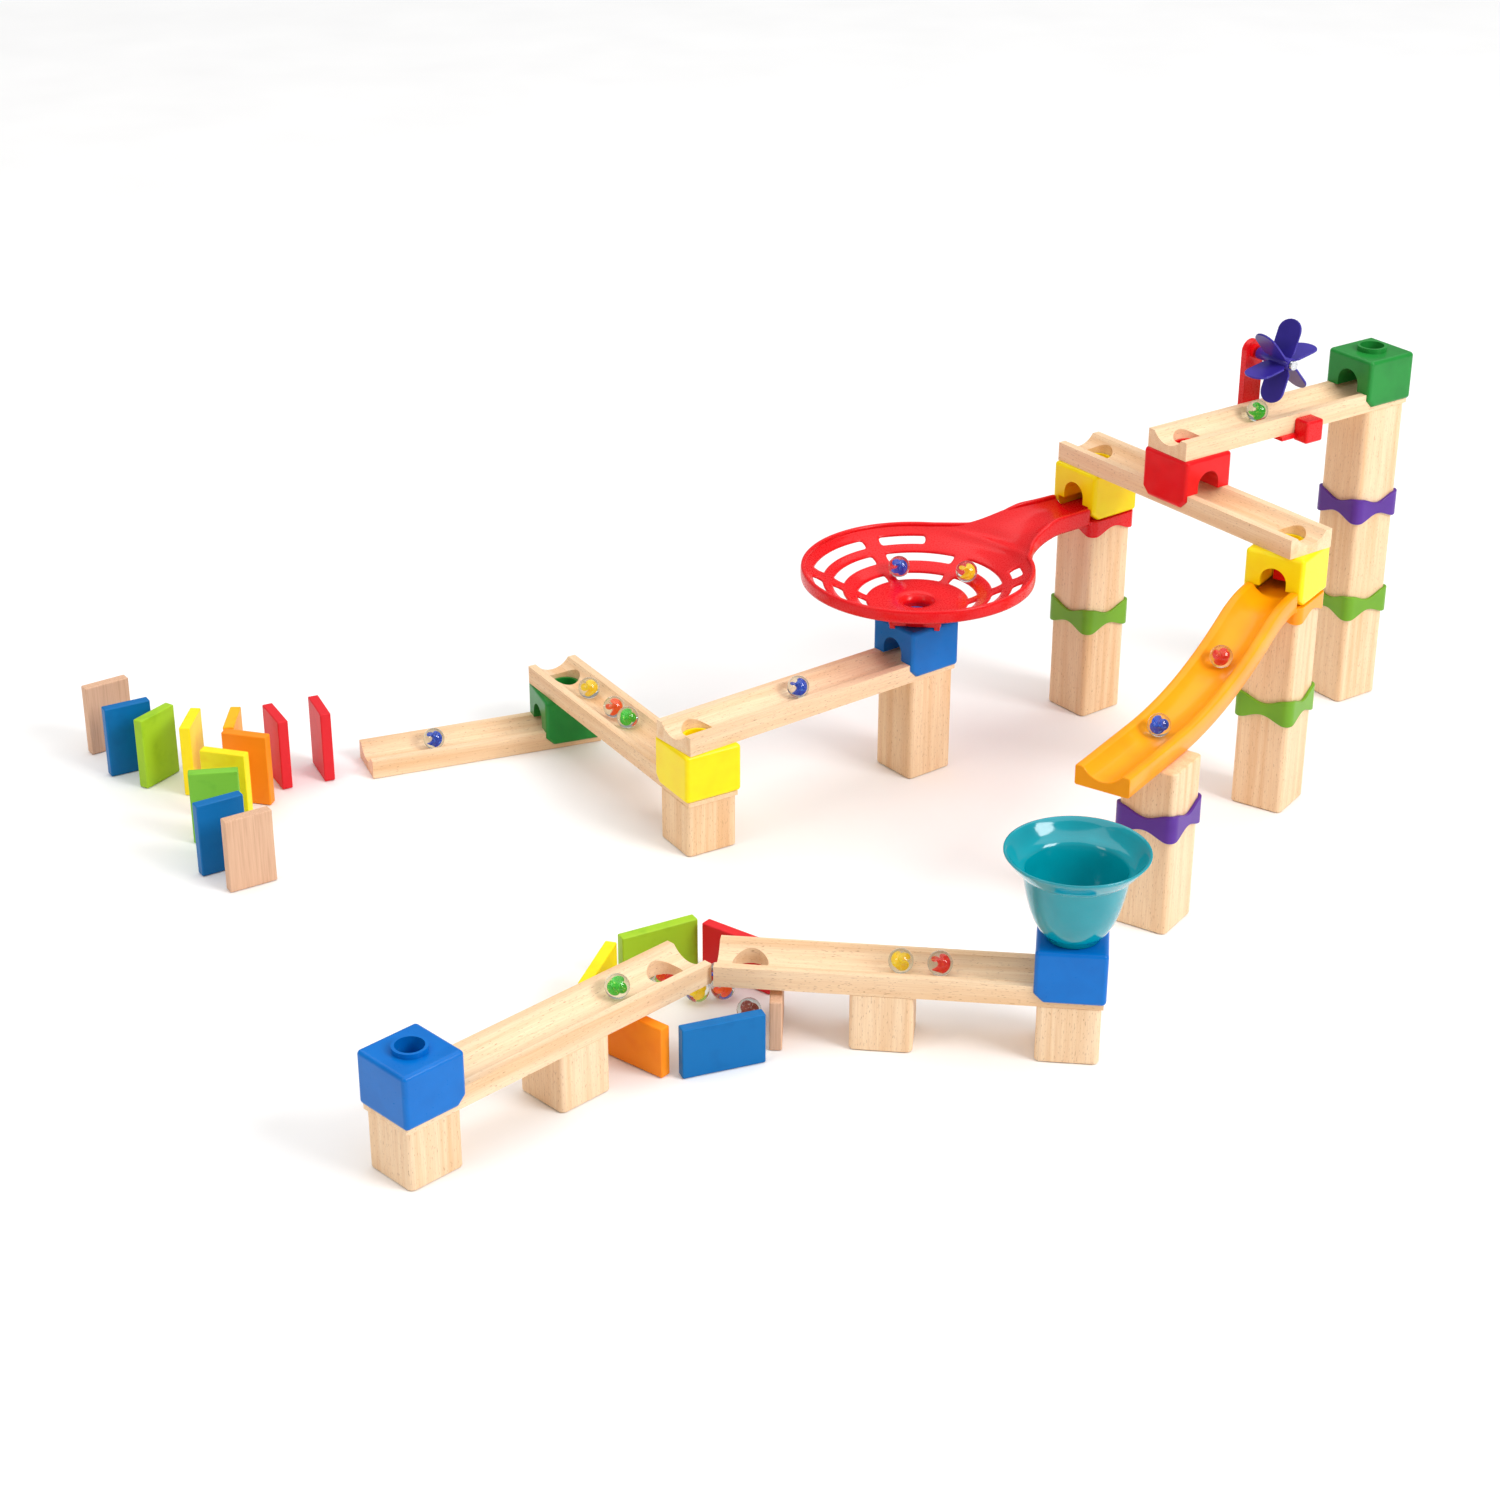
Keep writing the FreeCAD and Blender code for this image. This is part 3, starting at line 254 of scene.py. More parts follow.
def glass(name):
    """Clear marble glass with a few faint swirls in its body."""
    shader = Shader(name)
    swirl = shader.noise(shader.coordinates(), 260.0, 2.0)
    tint = shader.ramp(swirl, [(0.3, rgb(222, 238, 238)), (0.7, rgb(238, 247, 247))])
    shader.join(tint, shader.surface.inputs["Base Color"])
    shader.join(shader.span(swirl, 0.0, 0.03), shader.surface.inputs["Roughness"])
    shader.set(Transmission_Weight=1.0, IOR=1.47)
    return shader.material


def painted_glow_vane_glass(name, colour, pale):
    """The coloured ribbon inside a marble, with a painted glow: it gives off its own colour as light."""
    shader = Shader(name)
    streaks = shader.noise(shader.coordinates(), 700.0, 3.0)
    tint = shader.ramp(streaks, [(0.35, colour), (0.60, colour), (0.72, pale)])
    shader.join(tint, shader.surface.inputs["Base Color"])
    shader.join(shader.span(streaks, 0.25, 0.5), shader.surface.inputs["Roughness"])
    # painted glow: the ribbon's colour is also emitted, at strength 0.3, so it looks lit from within
    shader.join(tint, shader.surface.inputs["Emission Color"])
    shader.set(Emission_Strength=0.3)
    return shader.material


# ---------------------------------------------------------------- mesh helpers
def mesh_piece(name, points, faces, material, place=None, smooth=True):
    """A new object in metres: its points, moved by place, with doubles merged and faces turned outward."""
    mesh = bpy.data.meshes.new(name)
    mesh.from_pydata([tuple(p) for p in points], [], faces)
    if place is not None:
        mesh.transform(place)
    mesh.materials.append(material)
    piece = bpy.data.objects.new(name, mesh)
    bpy.context.scene.collection.objects.link(piece)
    tidy = bmesh.new()
    tidy.from_mesh(mesh)
    bmesh.ops.remove_doubles(tidy, verts=tidy.verts, dist=1e-6)
    bmesh.ops.recalc_face_normals(tidy, faces=tidy.faces)
    for face in tidy.faces:
        face.smooth = smooth
    tidy.to_mesh(mesh)
    tidy.free()
    return piece


def bake(piece):
    """Applies the piece's modifiers."""
    view = bpy.context.evaluated_depsgraph_get()
    view.update()
    mesh = bpy.data.meshes.new_from_object(piece.evaluated_get(view))
    piece.modifiers.clear()
    old = piece.data
    piece.data = mesh
    bpy.data.meshes.remove(old)
    return piece


def soften(piece, width, segments=2, angle=35.0):
    """Rounds the piece's sharp edges; width is in millimetres."""
    rounding = piece.modifiers.new("round", "BEVEL")
    rounding.width = width * MM
    rounding.segments = segments
    rounding.limit_method = "ANGLE"
    rounding.angle_limit = math.radians(angle)
    rounding.harden_normals = True
    return bake(piece)


def subdivide(piece, levels=1):
    extra = piece.modifiers.new("smooth", "SUBSURF")
    extra.levels = levels
    extra.render_levels = levels
    return bake(piece)


def stand_for(piece, body, slot, *replaced):
    """Says which body the piece rides on, and the CAD nodes that it stands for. slot is not used."""
    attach(piece, body)
    if replaced:
        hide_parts(*replaced)
    return piece


def grid_faces(rows, columns, closed_rows=False, closed_columns=False):
    """Four-sided faces between neighbouring rows and columns of points."""
    faces = []
    for i in range(rows if closed_rows else rows - 1):
        for j in range(columns if closed_columns else columns - 1):
            a, b = i * columns + j, i * columns + (j + 1) % columns
            c, d = ((i + 1) % rows) * columns + (j + 1) % columns, ((i + 1) % rows) * columns + j
            faces.append((a, b, c, d))
    return faces


def tube_faces(rows, columns):
    """A grid closed around its columns, with a cap at each end."""
    last = (rows - 1) * columns
    caps = [tuple(range(columns)), tuple(last + k for k in reversed(range(columns)))]
    return grid_faces(rows, columns, False, True) + caps


def prism_sides(count):
    """The sides between two outlines of count points, the second listed after the first."""
    return [(k, (k + 1) % count, count + (k + 1) % count, count + k) for k in range(count)]


def slab(name, low, high, material, place, rounding=0.6):
    """A rounded plate between two corners, in millimetres."""
    points = [(x, y, z) for x in (low[0], high[0]) for y in (low[1], high[1]) for z in (low[2], high[2])]
    faces = [(0, 1, 3, 2), (4, 6, 7, 5), (0, 4, 5, 1), (2, 3, 7, 6), (0, 2, 6, 4), (1, 5, 7, 3)]
    piece = mesh_piece(name, points, faces, material, place, smooth=False)
    return soften(piece, rounding, 3)


def lathe(name, profile, material, place, steps=96):
    """A closed profile of (radius, height) turned about the vertical."""
    points = []
    for k in range(steps):
        angle = 2 * math.pi * k / steps
        points += [(r * math.cos(angle), r * math.sin(angle), z) for r, z in profile]
    return mesh_piece(name, points, grid_faces(steps, len(profile), True, True), material, place)


def smooth_line(points, count):
    """A smooth curve through the points, as count evenly spaced places."""
    points = [Vector(p) for p in points]
    ends = [points[0] * 2 - points[1]] + points + [points[-1] * 2 - points[-2]]
    dense = []
    for k in range(1, len(ends) - 2):
        a, b, c, d = ends[k - 1:k + 3]
        for step in range(24):
            t = step / 24
            dense.append(0.5 * (2 * b + (c - a) * t + (2 * a - 5 * b + 4 * c - d) * t * t
                                + (3 * b - a - 3 * c + d) * t ** 3))
    dense.append(points[-1])
    lengths = [0.0]
    for first, second in zip(dense, dense[1:]):
        lengths.append(lengths[-1] + (second - first).length)
    line, at = [], 0
    for k in range(count):
        goal = lengths[-1] * k / (count - 1)
        while at < len(lengths) - 2 and lengths[at + 1] < goal:
            at += 1
        share = (goal - lengths[at]) / max(lengths[at + 1] - lengths[at], 1e-9)
        line.append(dense[at].lerp(dense[at + 1], min(1.0, share)))
    return line


def ease(value, low, high):
    share = min(1.0, max(0.0, (value - low) / (high - low)))
    return share * share * (3 - 2 * share)


# ---------------------------------------------------------------- colours
GREEN = (rgb(34, 140, 56), rgb(30, 130, 52))
RED = (rgb(230, 14, 22), rgb(220, 12, 20))
YELLOW = (rgb(255, 232, 8), rgb(254, 224, 6))
BLUE = (rgb(0, 112, 200), rgb(0, 106, 192))
ORANGE = (rgb(252, 162, 4), rgb(248, 150, 4))
TEAL = (rgb(0, 150, 164), rgb(0, 138, 152))
LIME = (rgb(114, 170, 36), rgb(104, 158, 32))
PURPLE = (rgb(90, 44, 150), rgb(82, 38, 138))
INDIGO = (rgb(62, 48, 160), rgb(44, 34, 132))

lacquers = {
    "green": lacquer("green_lacquer", *GREEN),
    "red": lacquer("red_lacquer", *RED),
    "yellow": lacquer("yellow_lacquer", *YELLOW),
    "blue": lacquer("blue_lacquer", *BLUE),
}
red_plastic = plastic("red_plastic", *RED, gloss=0.22)
orange_plastic = plastic("orange_plastic", *ORANGE, gloss=0.26)
teal_plastic = plastic("teal_plastic", *TEAL, gloss=0.05, shine=0.5)
lime_plastic = plastic("lime_plastic", *LIME, gloss=0.34)
purple_plastic = plastic("purple_plastic", *PURPLE, gloss=0.34)
indigo_plastic = plastic("indigo_plastic", *INDIGO, gloss=0.24)
steel = metal("steel")
clear_glass = glass("marble_glass")

DOMINO_PAINTS = {
    "red": (rgb(226, 36, 46), rgb(214, 28, 40)),
    "amber": (rgb(255, 186, 30), rgb(246, 160, 22)),
    "yellow": (rgb(255, 232, 30), rgb(248, 212, 16)),
    "lime": (rgb(164, 206, 44), rgb(138, 186, 36)),
    "green": (rgb(128, 198, 62), rgb(104, 178, 52)),
    "blue": (rgb(0, 108, 176), rgb(0, 98, 162)),
    "orange": (rgb(252, 144, 24), rgb(246, 132, 20)),
}
domino_paints = {key: paint("domino_" + key, *pair) for key, pair in DOMINO_PAINTS.items()}


# ---------------------------------------------------------------- the CAD pieces that stay
def finish_node(name, material):
    materials = nodes[name].data.materials
    materials.clear()
    materials.append(material)


seed = 1
for name in sorted(nodes):
    if "post" in name:
        finish_node(name, beech(name + "_beech", "Z", 30.0, seed, tone=(seed * 7 % 5) / 5))
        seed += 1
    elif name.startswith("rail_"):
        heading = HEADINGS[name[:6]]
        finish_node(name, beech(name + "_beech", "X", heading, seed, tone=(seed * 3 % 4) / 5))
        seed += 1
    elif "_block" in name:
        finish_node(name, lacquers[name.split("_")[0]])
    elif name.startswith("domino_"):
        shade = name.split("_")[2]
        if shade == "natural":
            finish_node(name, bare_wood(name + "_wood", 35.0, seed))
            seed += 1
        else:
            finish_node(name, domino_paints[shade])
finish_node("red_ramps", lacquers["red"])
finish_node("windmill_bracket", red_plastic)
finish_node("windmill_axle", steel)


def island_centres(node):
    """Middle of each separate solid of a node, in millimetres, by the node's own order."""
    mesh = bmesh.new()
    mesh.from_mesh(nodes[node].data)
    bmesh.ops.remove_doubles(mesh, verts=mesh.verts, dist=1e-5)
    waiting = set(mesh.verts)
    centres = []
    while waiting:
        stack = [waiting.pop()]
        low, high = stack[0].co.copy(), stack[0].co.copy()
        while stack:
            vert = stack.pop()
            for axis in range(3):
                low[axis] = min(low[axis], vert.co[axis])
                high[axis] = max(high[axis], vert.co[axis])
            for edge in vert.link_edges:
                other = edge.other_vert(vert)
                if other in waiting:
                    waiting.remove(other)
                    stack.append(other)
        centres.append((low + high) / (2 * MM))
    mesh.free()
    return centres


# ---------------------------------------------------------------- pen dominoes
def pen_slab(name, centre, heading, material):
    """A domino lying on its long edge, with its length along the heading."""
    half = Vector((55.0, 8.0, 35.0)) / 2
    piece = slab(name, -half, half, material, local_frame(centre, heading), 1.0)
    return stand_for(piece, "set", "domino_lime", "pen_dominoes")


PEN = {"yellow": 74.0, "lime": 28.5, "red": 143.4, "natural": 88.0, "blue": 20.8, "orange": 141.0}
PEN_ORDER_BY_ANGLE = ["natural", "red", "lime", "yellow", "orange", "blue"]
pen_centres = island_centres("pen_dominoes")
pen_middle = sum(pen_centres, Vector()) / len(pen_centres)
pen_centres.sort(key=lambda spot: math.atan2(spot.y - pen_middle.y, spot.x - pen_middle.x) % (2 * math.pi))
farthest = max(spot.x for spot in pen_centres)
turn = min(range(len(pen_centres)), key=lambda k: abs(pen_centres[k].x - farthest))
pen_centres = pen_centres[turn:] + pen_centres[:turn]
for shade, centre in zip(PEN_ORDER_BY_ANGLE, pen_centres):
    wood = bare_wood("pen_natural_wood", PEN[shade], 9) if shade == "natural" else domino_paints[shade]
    pen_slab("pen_domino_" + shade, centre, PEN[shade], wood)


# ---------------------------------------------------------------- collars and flanges
# heights of a band's edges over its level, at mid-face and at a corner
COLLAR_TOP, FLANGE_TOP, BAND_BOTTOM = (4.5, 10.0), (3.0, 3.0), (-4.5, -10.0)
NECK_HALF = 15.6


def wavy_band(name, origin, heading, top, bottom, material):
    """A band around a 40 mm square. top and bottom are (height at mid-face, height at a corner)."""
    inside, wall, corner = HALF + 0.15, 2.4, 4.0
    outline = []
    steps = 14
    for side in range(4):
        turn = Matrix.Rotation(math.radians(90 * side), 2)
        flat = inside - corner
        for k in range(-steps, steps):
            x = flat * k / steps
            outline.append((turn @ Vector((x, -inside)), turn @ Vector((0, -1)), abs(x) / HALF))
        for k in range(6):
            angle = math.radians(-90 + 15 * k)
            out = Vector((math.cos(angle), math.sin(angle)))
            spot = Vector((flat, -flat)) + out * corner
            reach = flat + corner * math.sin(math.radians(15 * min(k, 6 - k)))
            outline.append((turn @ spot, turn @ out, min(1.0, reach / HALF)))
    points = []
    for spot, out, share in outline:
        wave = 0.5 - 0.5 * math.cos(math.pi * min(1.0, share * 1.04))
        high = top[0] + (top[1] - top[0]) * wave
        low = bottom[0] + (bottom[1] - bottom[0]) * wave
        far = spot + out * wall
        points += [(spot.x, spot.y, low), (far.x, far.y, low), (far.x, far.y, high), (spot.x, spot.y, high)]
    place = local_frame(origin, heading)
    band = mesh_piece(name, points, grid_faces(len(outline), 4, True, True), material, place)
    return soften(band, 0.55, 3, 50.0)


def joint_collar(name, spot, heading, material, slot, node):
    band = wavy_band(name, spot, heading, COLLAR_TOP, BAND_BOTTOM, material)
    return stand_for(band, "set", slot, node)


towers = {
    "a": (foot("tower_a_post_low"), HEADINGS["rail_1"]),
    "b": (foot("tower_b_post_low"), HEADINGS["bowl"]),
    "c": (foot("tower_c_post_low"), HEADINGS["slide"]),
    "slide": (foot("slide_post_low"), HEADINGS["slide"]),
}
for key in ("a", "b", "c"):
    spot, heading = towers[key]
    level = spot + Vector((0, 0, 2 * STOREY))
    joint_collar("lime_collar_" + key, level, heading, lime_plastic, "lime_plastic", "green_collars")
for key, storeys in (("a", 4), ("slide", 2)):
    spot, heading = towers[key]
    level = spot + Vector((0, 0, storeys * STOREY))
    joint_collar("purple_collar_" + key, level, heading, purple_plastic, "purple_plastic", "purple_collars")


# ---------------------------------------------------------------- the spiral bowl
BOWL_RADIUS, RIM_LEVEL, ARM_BASE = 83.5, 41.0, 40.0
ARM_SEAT = 175.5
ARM_END = ARM_SEAT - BLOCK_HALF - 0.2
DRAIN = 11.5
STEP = 2.5
ARM_FROM, ARM_TO = -25.0, 42.5
bowl_origin = foot("blue_block_d") + Vector((0, 0, STOREY - 3.5))
bowl_place = local_frame(bowl_origin, HEADINGS["bowl"] - 180.0)
# radius and height of the dish, from the drain to the rim, with a slot in each stretch marked 1
DISH = [(11.6, 13.4, 0), (24.0, 13.8, 0), (34.5, 14.1, 0), (37.5, 14.8, 1), (43.0, 17.4, 0), (47.0, 19.3, 0),
        (50.5, 21.0, 0), (54.0, 22.9, 1), (61.0, 26.2, 0), (65.0, 28.2, 0), (69.0, 30.2, 1), (76.0, 33.6, 0),
        (79.0, 35.2, 0), (81.4, 37.6, 0), (83.5, 39.6, 0)]
OUTER_SLOTS = 69.0


def polar(radius, degrees):
    return radius * math.cos(math.radians(degrees)), radius * math.sin(math.radians(degrees))


def in_arm(degrees):
    return ARM_FROM <= (degrees + 180) % 360 - 180 <= ARM_TO


def entry_dip(radius, degrees):
    """How far the dish lies lower where the arm's trough runs into it."""
    deepest, half_width, start = 4.5, 33.0, 62.0
    off = (degrees + 180) % 360 - 180 - (ARM_FROM + ARM_TO) / 2
    across = max(0.0, 1.0 - (off / half_width) ** 2)
    return deepest * across * ease(radius, start, BOWL_RADIUS)


far_edge = smooth_line([(*polar(BOWL_RADIUS, ARM_TO), 0), (77, 44, 0), (93, 32, 0), (109, 25, 0),
                        (129, 20.4, 0), (ARM_END, 18.4, 0)], 26)
near_edge = smooth_line([(*polar(BOWL_RADIUS, ARM_FROM), 0), (83, -29.5, 0), (91, -22.5, 0), (101, -18.8, 0),
                         (114, -18.0, 0), (132, -18.0, 0), (ARM_END, -18.4, 0)], 26)


def arm_rise(reach):
    """Share of the way from the rim's level up to the arm's level."""
    return ease(reach, 81.0, 123.0)


def lip_top(reach, on_arm):
    """Height of the rolled rim's top."""
    rise = arm_rise(reach) if on_arm else 0.0
    return RIM_LEVEL + (ARM_BASE + 14.0 - RIM_LEVEL) * rise


def make_bowl():
    """The slotted dish and the arm's floor, as one skin given a wall."""
    angles = [k * STEP for k in range(int(360 / STEP))]
    columns = len(angles)
    points = []
    for radius, level, _ in DISH:
        for degrees in angles:
            x, y = polar(radius, degrees)
            points.append((x, y, level - entry_dip(radius, degrees)))
    faces = []
    slot_start, slot_pitch, slot_length = 22.5, 60.0, 50.0
    for ring in range(len(DISH) - 1):
        for k in range(columns):
            within = (angles[k] - slot_start) % slot_pitch
            open_here = DISH[ring][2] and within < slot_length
            if open_here and not (DISH[ring][0] >= OUTER_SLOTS and in_arm(angles[k])):
                continue
            a, b = ring * columns + k, ring * columns + (k + 1) % columns
            faces.append((a, b, b + columns, a + columns))
    # the arm's floor, row by row from the rim's arc to the seat
    arc = [k * STEP for k in range(int(ARM_FROM / STEP), int(ARM_TO / STEP) + 1)]
    first = len(points)
    rows = len(far_edge)
    across = len(arc)
    for row in range(rows):
        share = row / (rows - 1)
        near, far = near_edge[row], far_edge[row]
        for k, degrees in enumerate(arc):
            side = k / (across - 1)
            flat = near.lerp(far, side)
            x0, y0 = polar(BOWL_RADIUS, degrees)
            chord = near_edge[0].lerp(far_edge[0], side)
            fade = (1 - ease(share, 0.0, 0.45))
            spot = Vector((flat.x + (x0 - chord.x) * fade, flat.y + (y0 - chord.y) * fade, 0))
            reach = near.lerp(far, side).x
            edge_level = lip_top(max(reach, near.x), True) - 2.0
            across_share = abs(2 * side - 1)
            rim_dip = DISH[-1][1] - entry_dip(BOWL_RADIUS, degrees)
            floor = rim_dip + (ARM_BASE + 6.6 - rim_dip) * ease(share, 0.0, 0.75)
            power = 2.6 + 2.0 * (1 - share)
            level = floor + (edge_level - floor) * across_share ** power * ease(share, 0.0, 0.3)
            points.append((spot.x, spot.y, level))
    faces += [tuple(first + index for index in face) for face in grid_faces(rows, across)]
    skin = mesh_piece("bowl_dish", points, faces, red_plastic, bowl_place)
    weld = bmesh.new()
    weld.from_mesh(skin.data)
    bmesh.ops.remove_doubles(weld, verts=weld.verts, dist=0.0004)
    bmesh.ops.recalc_face_normals(weld, faces=weld.faces)
    if sum(face.normal.z for face in weld.faces) < 0:
        bmesh.ops.reverse_faces(weld, faces=weld.faces)
    for face in weld.faces:
        face.smooth = True
    weld.to_mesh(skin.data)
    weld.free()
    thick = skin.modifiers.new("wall", "SOLIDIFY")
    thick.thickness = 2.6 * MM
    thick.offset = -1.0
    bake(skin)
    subdivide(skin)
    return stand_for(skin, "set", "red_plastic", "red_spiral_bowl")


def make_bowl_lip():
    """The rolled rim: up one side of the arm, round the bowl and back along the other side."""
    path = [(Vector((p.x, p.y, 0)), True) for p in reversed(far_edge)]
    start, stop = ARM_TO + STEP, 360.0 + ARM_FROM
    count = int((stop - start) / STEP)
    path += [(Vector((*polar(BOWL_RADIUS, start + k * STEP), 0)), False) for k in range(count)]
    path += [(Vector((p.x, p.y, 0)), True) for p in near_edge]
    section = [(-1.6, -3.0), (-1.6, -0.9), (-0.9, -0.1), (0.2, 0.1), (1.3, -0.1), (2.0, -0.9),
               (2.0, -1.0), (1.4, -1.0)]
    points = []
    for k, (spot, on_arm) in enumerate(path):
        ahead = path[min(k + 1, len(path) - 1)][0] - path[max(k - 1, 0)][0]
        out = Vector((ahead.y, -ahead.x, 0)).normalized()
        rise = arm_rise(spot.x) if on_arm else 0.0
        level = lip_top(spot.x, on_arm)
        deep = 9.4 + 4.2 * rise
        for index, (side, high) in enumerate(section):
            if index >= 6:
                high = -deep
            point = spot + out * side
            points.append((point.x, point.y, level + high))
    faces = tube_faces(len(path), len(section))
    lip = mesh_piece("bowl_lip", points, faces, red_plastic, bowl_place)
    subdivide(lip)
    return stand_for(lip, "set", "red_plastic", "red_spiral_bowl")


def make_bowl_foot():
    """A square plate turned by 45 degrees, with the drain through it and four tips over the block's faces."""
    half, corner, high, hang = 19.0, 2.4, 4.5, 2.5
    place = bowl_place @ Matrix.Rotation(math.radians(45.0), 4, "Z")
    outline = []
    for side in range(4):
        turn = Matrix.Rotation(math.radians(90 * side), 2)
        outline += [turn @ Vector((x, -half)) for x in (-12.0, -6.0, 0.0, 6.0, 12.0)]
        for k in range(5):
            angle = math.radians(-90.0 + 22.5 * k)
            flat = half - corner
            outline.append(turn @ Vector((flat + corner * math.cos(angle), -flat + corner * math.sin(angle))))
    points = []
    for spot in outline:
        inner = spot.normalized() * (DRAIN + 0.1)
        points += [(inner.x, inner.y, 0.15), (spot.x, spot.y, 0.15)]
        points += [(spot.x, spot.y, high), (inner.x, inner.y, high)]
    plate = mesh_piece("bowl_foot_plate", points, grid_faces(len(outline), 4, True, True), red_plastic, place)
    soften(plate, 0.4, 2, 50.0)
    stand_for(plate, "set", "red_plastic", "red_spiral_bowl")
    tip = [(22.9, -2.9), (24.6, -1.4), (25.6, 0.0), (24.6, 1.4), (22.9, 2.9)]
    for k in range(4):
        turned = bowl_place @ Matrix.Rotation(math.radians(90.0 * k), 4, "Z")
        points = [(x, y, z) for z in (-hang, 2.0) for x, y in tip]
        count = len(tip)
        faces = [tuple(reversed(range(count))), tuple(range(count, 2 * count))] + prism_sides(count)
        piece = mesh_piece("bowl_foot_tip_%d" % (k + 1), points, faces, red_plastic, turned, smooth=False)
        soften(piece, 0.35, 2)
        stand_for(piece, "set", "red_plastic", "red_spiral_bowl")


def make_bowl_seat():
    """The arm's end: a plate on the post, a neck over it and a band around the post."""
    low = (ARM_SEAT - BLOCK_HALF, -HALF, ARM_BASE + 0.05)
    plate = slab("bowl_arm_seat", low, (ARM_SEAT + RAIL_END, HALF, ARM_BASE + 3.3), red_plastic, bowl_place)
    stand_for(plate, "set", "red_plastic", "red_spiral_bowl")
    low = (ARM_SEAT - BLOCK_HALF - 2.0, -NECK_HALF, ARM_BASE + 0.4)
    neck = slab("bowl_arm_neck", low, (ARM_SEAT + NECK_HALF, NECK_HALF, ARM_BASE + 6.4), red_plastic, bowl_place)
    stand_for(neck, "set", "red_plastic", "red_spiral_bowl")
    spot, heading = towers["b"]
    level = spot + Vector((0, 0, 4 * STOREY))
    band = wavy_band("bowl_arm_flange", level, heading, FLANGE_TOP, BAND_BOTTOM, red_plastic)
    stand_for(band, "set", "red_plastic", "red_spiral_bowl")


def make_bowl_hub():
    """The tube around the drain, between the foot and the dish."""
    bore = DRAIN + 0.1
    cone = [(bore, 0.2), (19.7, 0.2), (20.0, 0.6), (20.0, 10.6), (21.0, 11.6), (21.0, 12.4), (bore, 12.4)]
    hub = lathe("bowl_hub", cone, red_plastic, bowl_place, 72)
    stand_for(hub, "set", "red_plastic", "red_spiral_bowl")


make_bowl()
make_bowl_lip()
make_bowl_seat()
make_bowl_foot()
make_bowl_hub()


# ---------------------------------------------------------------- the slide
TROUGH_DEEP = 7.6
SLIDE = {"level": 25.0, "crest": 80.0, "sweep": 322.8, "angle": 25.75, "reach": 272.0, "side": 15.0}


def slide_line():
    """Places and slopes along the slide's underside, from the block's face to the foot's end."""
    crest_steps, sweep_steps = 12, 24
    angle = math.radians(SLIDE["angle"])
    line = [(BLOCK_HALF + 0.2, 0.0, 0.0), (SLIDE["level"], 0.0, 0.0)]
    for k in range(1, crest_steps + 1):
        a = angle * k / crest_steps
        line.append((SLIDE["level"] + SLIDE["crest"] * math.sin(a), -SLIDE["crest"] * (1 - math.cos(a)), a))
    x0, z0, _ = line[-1]
    for k in range(1, sweep_steps + 1):
        a = angle * (1 - k / sweep_steps)
        x = x0 + SLIDE["sweep"] * (math.sin(angle) - math.sin(a))
        z = z0 - SLIDE["sweep"] * (math.cos(a) - math.cos(angle))
        line.append((x, z, a))
    foot_level = line[-1][1]
    for x in (230.0, 255.0, SLIDE["reach"]):
        line.append((x, foot_level, 0.0))
    return line


def slide_section():
    """Half-round trough between two rounded walls, as (across, up)."""
    top, half, radius = SLIDE["side"], HALF, 17.0
    axis = top - TROUGH_DEEP + radius
    trough = [(radius * math.sin(math.radians(t)), axis - radius * math.cos(math.radians(t)))
              for t in range(-54, 55, 6)]
    right = [(14.6, top - 0.45), (15.6, top), (half - 1.6, top), (half - 0.4, top - 0.5), (half, top - 1.8),
             (half, 1.4), (half - 1.0, 0.2)]
    left = [(-x, z) for x, z in reversed(right)]
    return left + trough + right


def make_slide():
    section = slide_section()
    points = []
    line = slide_line()
    for x, z, slope in line:
        for across, up in section:
            points.append((x + up * math.sin(slope), across, z + up * math.cos(slope)))
    faces = tube_faces(len(line), len(section))
    spot, heading = towers["c"]
    level = spot + Vector((0, 0, 4 * STOREY))
    place = local_frame(level, heading)
    chute = mesh_piece("slide_chute", points, faces, orange_plastic, place)
    soften(chute, 0.8, 2, 40.0)
    stand_for(chute, "set", "orange_plastic", "orange_slide")
    plate = slab("slide_seat", (-HALF, -HALF, 0.05), (BLOCK_HALF + 1.5, HALF, 3.3), orange_plastic, place)
    stand_for(plate, "set", "orange_plastic", "orange_slide")
    low = (-NECK_HALF, -NECK_HALF, 0.4)
    neck = slab("slide_neck", low, (BLOCK_HALF + 2.0, NECK_HALF, 7.3), orange_plastic, place)
    stand_for(neck, "set", "orange_plastic", "orange_slide")
    band = wavy_band("slide_flange", level, heading, FLANGE_TOP, BAND_BOTTOM, orange_plastic)
    stand_for(band, "set", "orange_plastic", "orange_slide")


make_slide()


# ---------------------------------------------------------------- the funnel
def make_funnel():
    outside = [(11.5, 0.1), (16.6, 0.1), (17.2, 0.8), (17.6, 3.6), (18.6, 4.4), (20.2, 4.8), (22.4, 8.0),
               (25.6, 14.0), (28.4, 22.0), (30.4, 30.0), (32.0, 38.0), (33.2, 45.0), (33.8, 47.0),
               (36.2, 47.8), (37.0, 48.6), (40.0, 52.0), (43.4, 56.6), (45.3, 59.2)]
    lip = [(45.2, 59.9), (44.4, 60.0), (43.4, 59.4)]
    inside = [(41.4, 56.6), (38.2, 52.6), (35.2, 49.8), (32.4, 48.6), (31.2, 46.0), (29.8, 38.0),
              (28.0, 30.0), (25.8, 22.0), (22.8, 14.4), (19.4, 10.4), (14.4, 8.2), (11.5, 7.0)]
    profile = outside + lip + inside
    origin = foot("teal_funnel")
    cup = lathe("funnel_cup", profile, teal_plastic, local_frame(origin, 0.0), 128)
    stand_for(cup, "set", "teal_plastic", "teal_funnel")


make_funnel()


# ---------------------------------------------------------------- the windmill's wheel
WHEEL_PHASE = 41.0


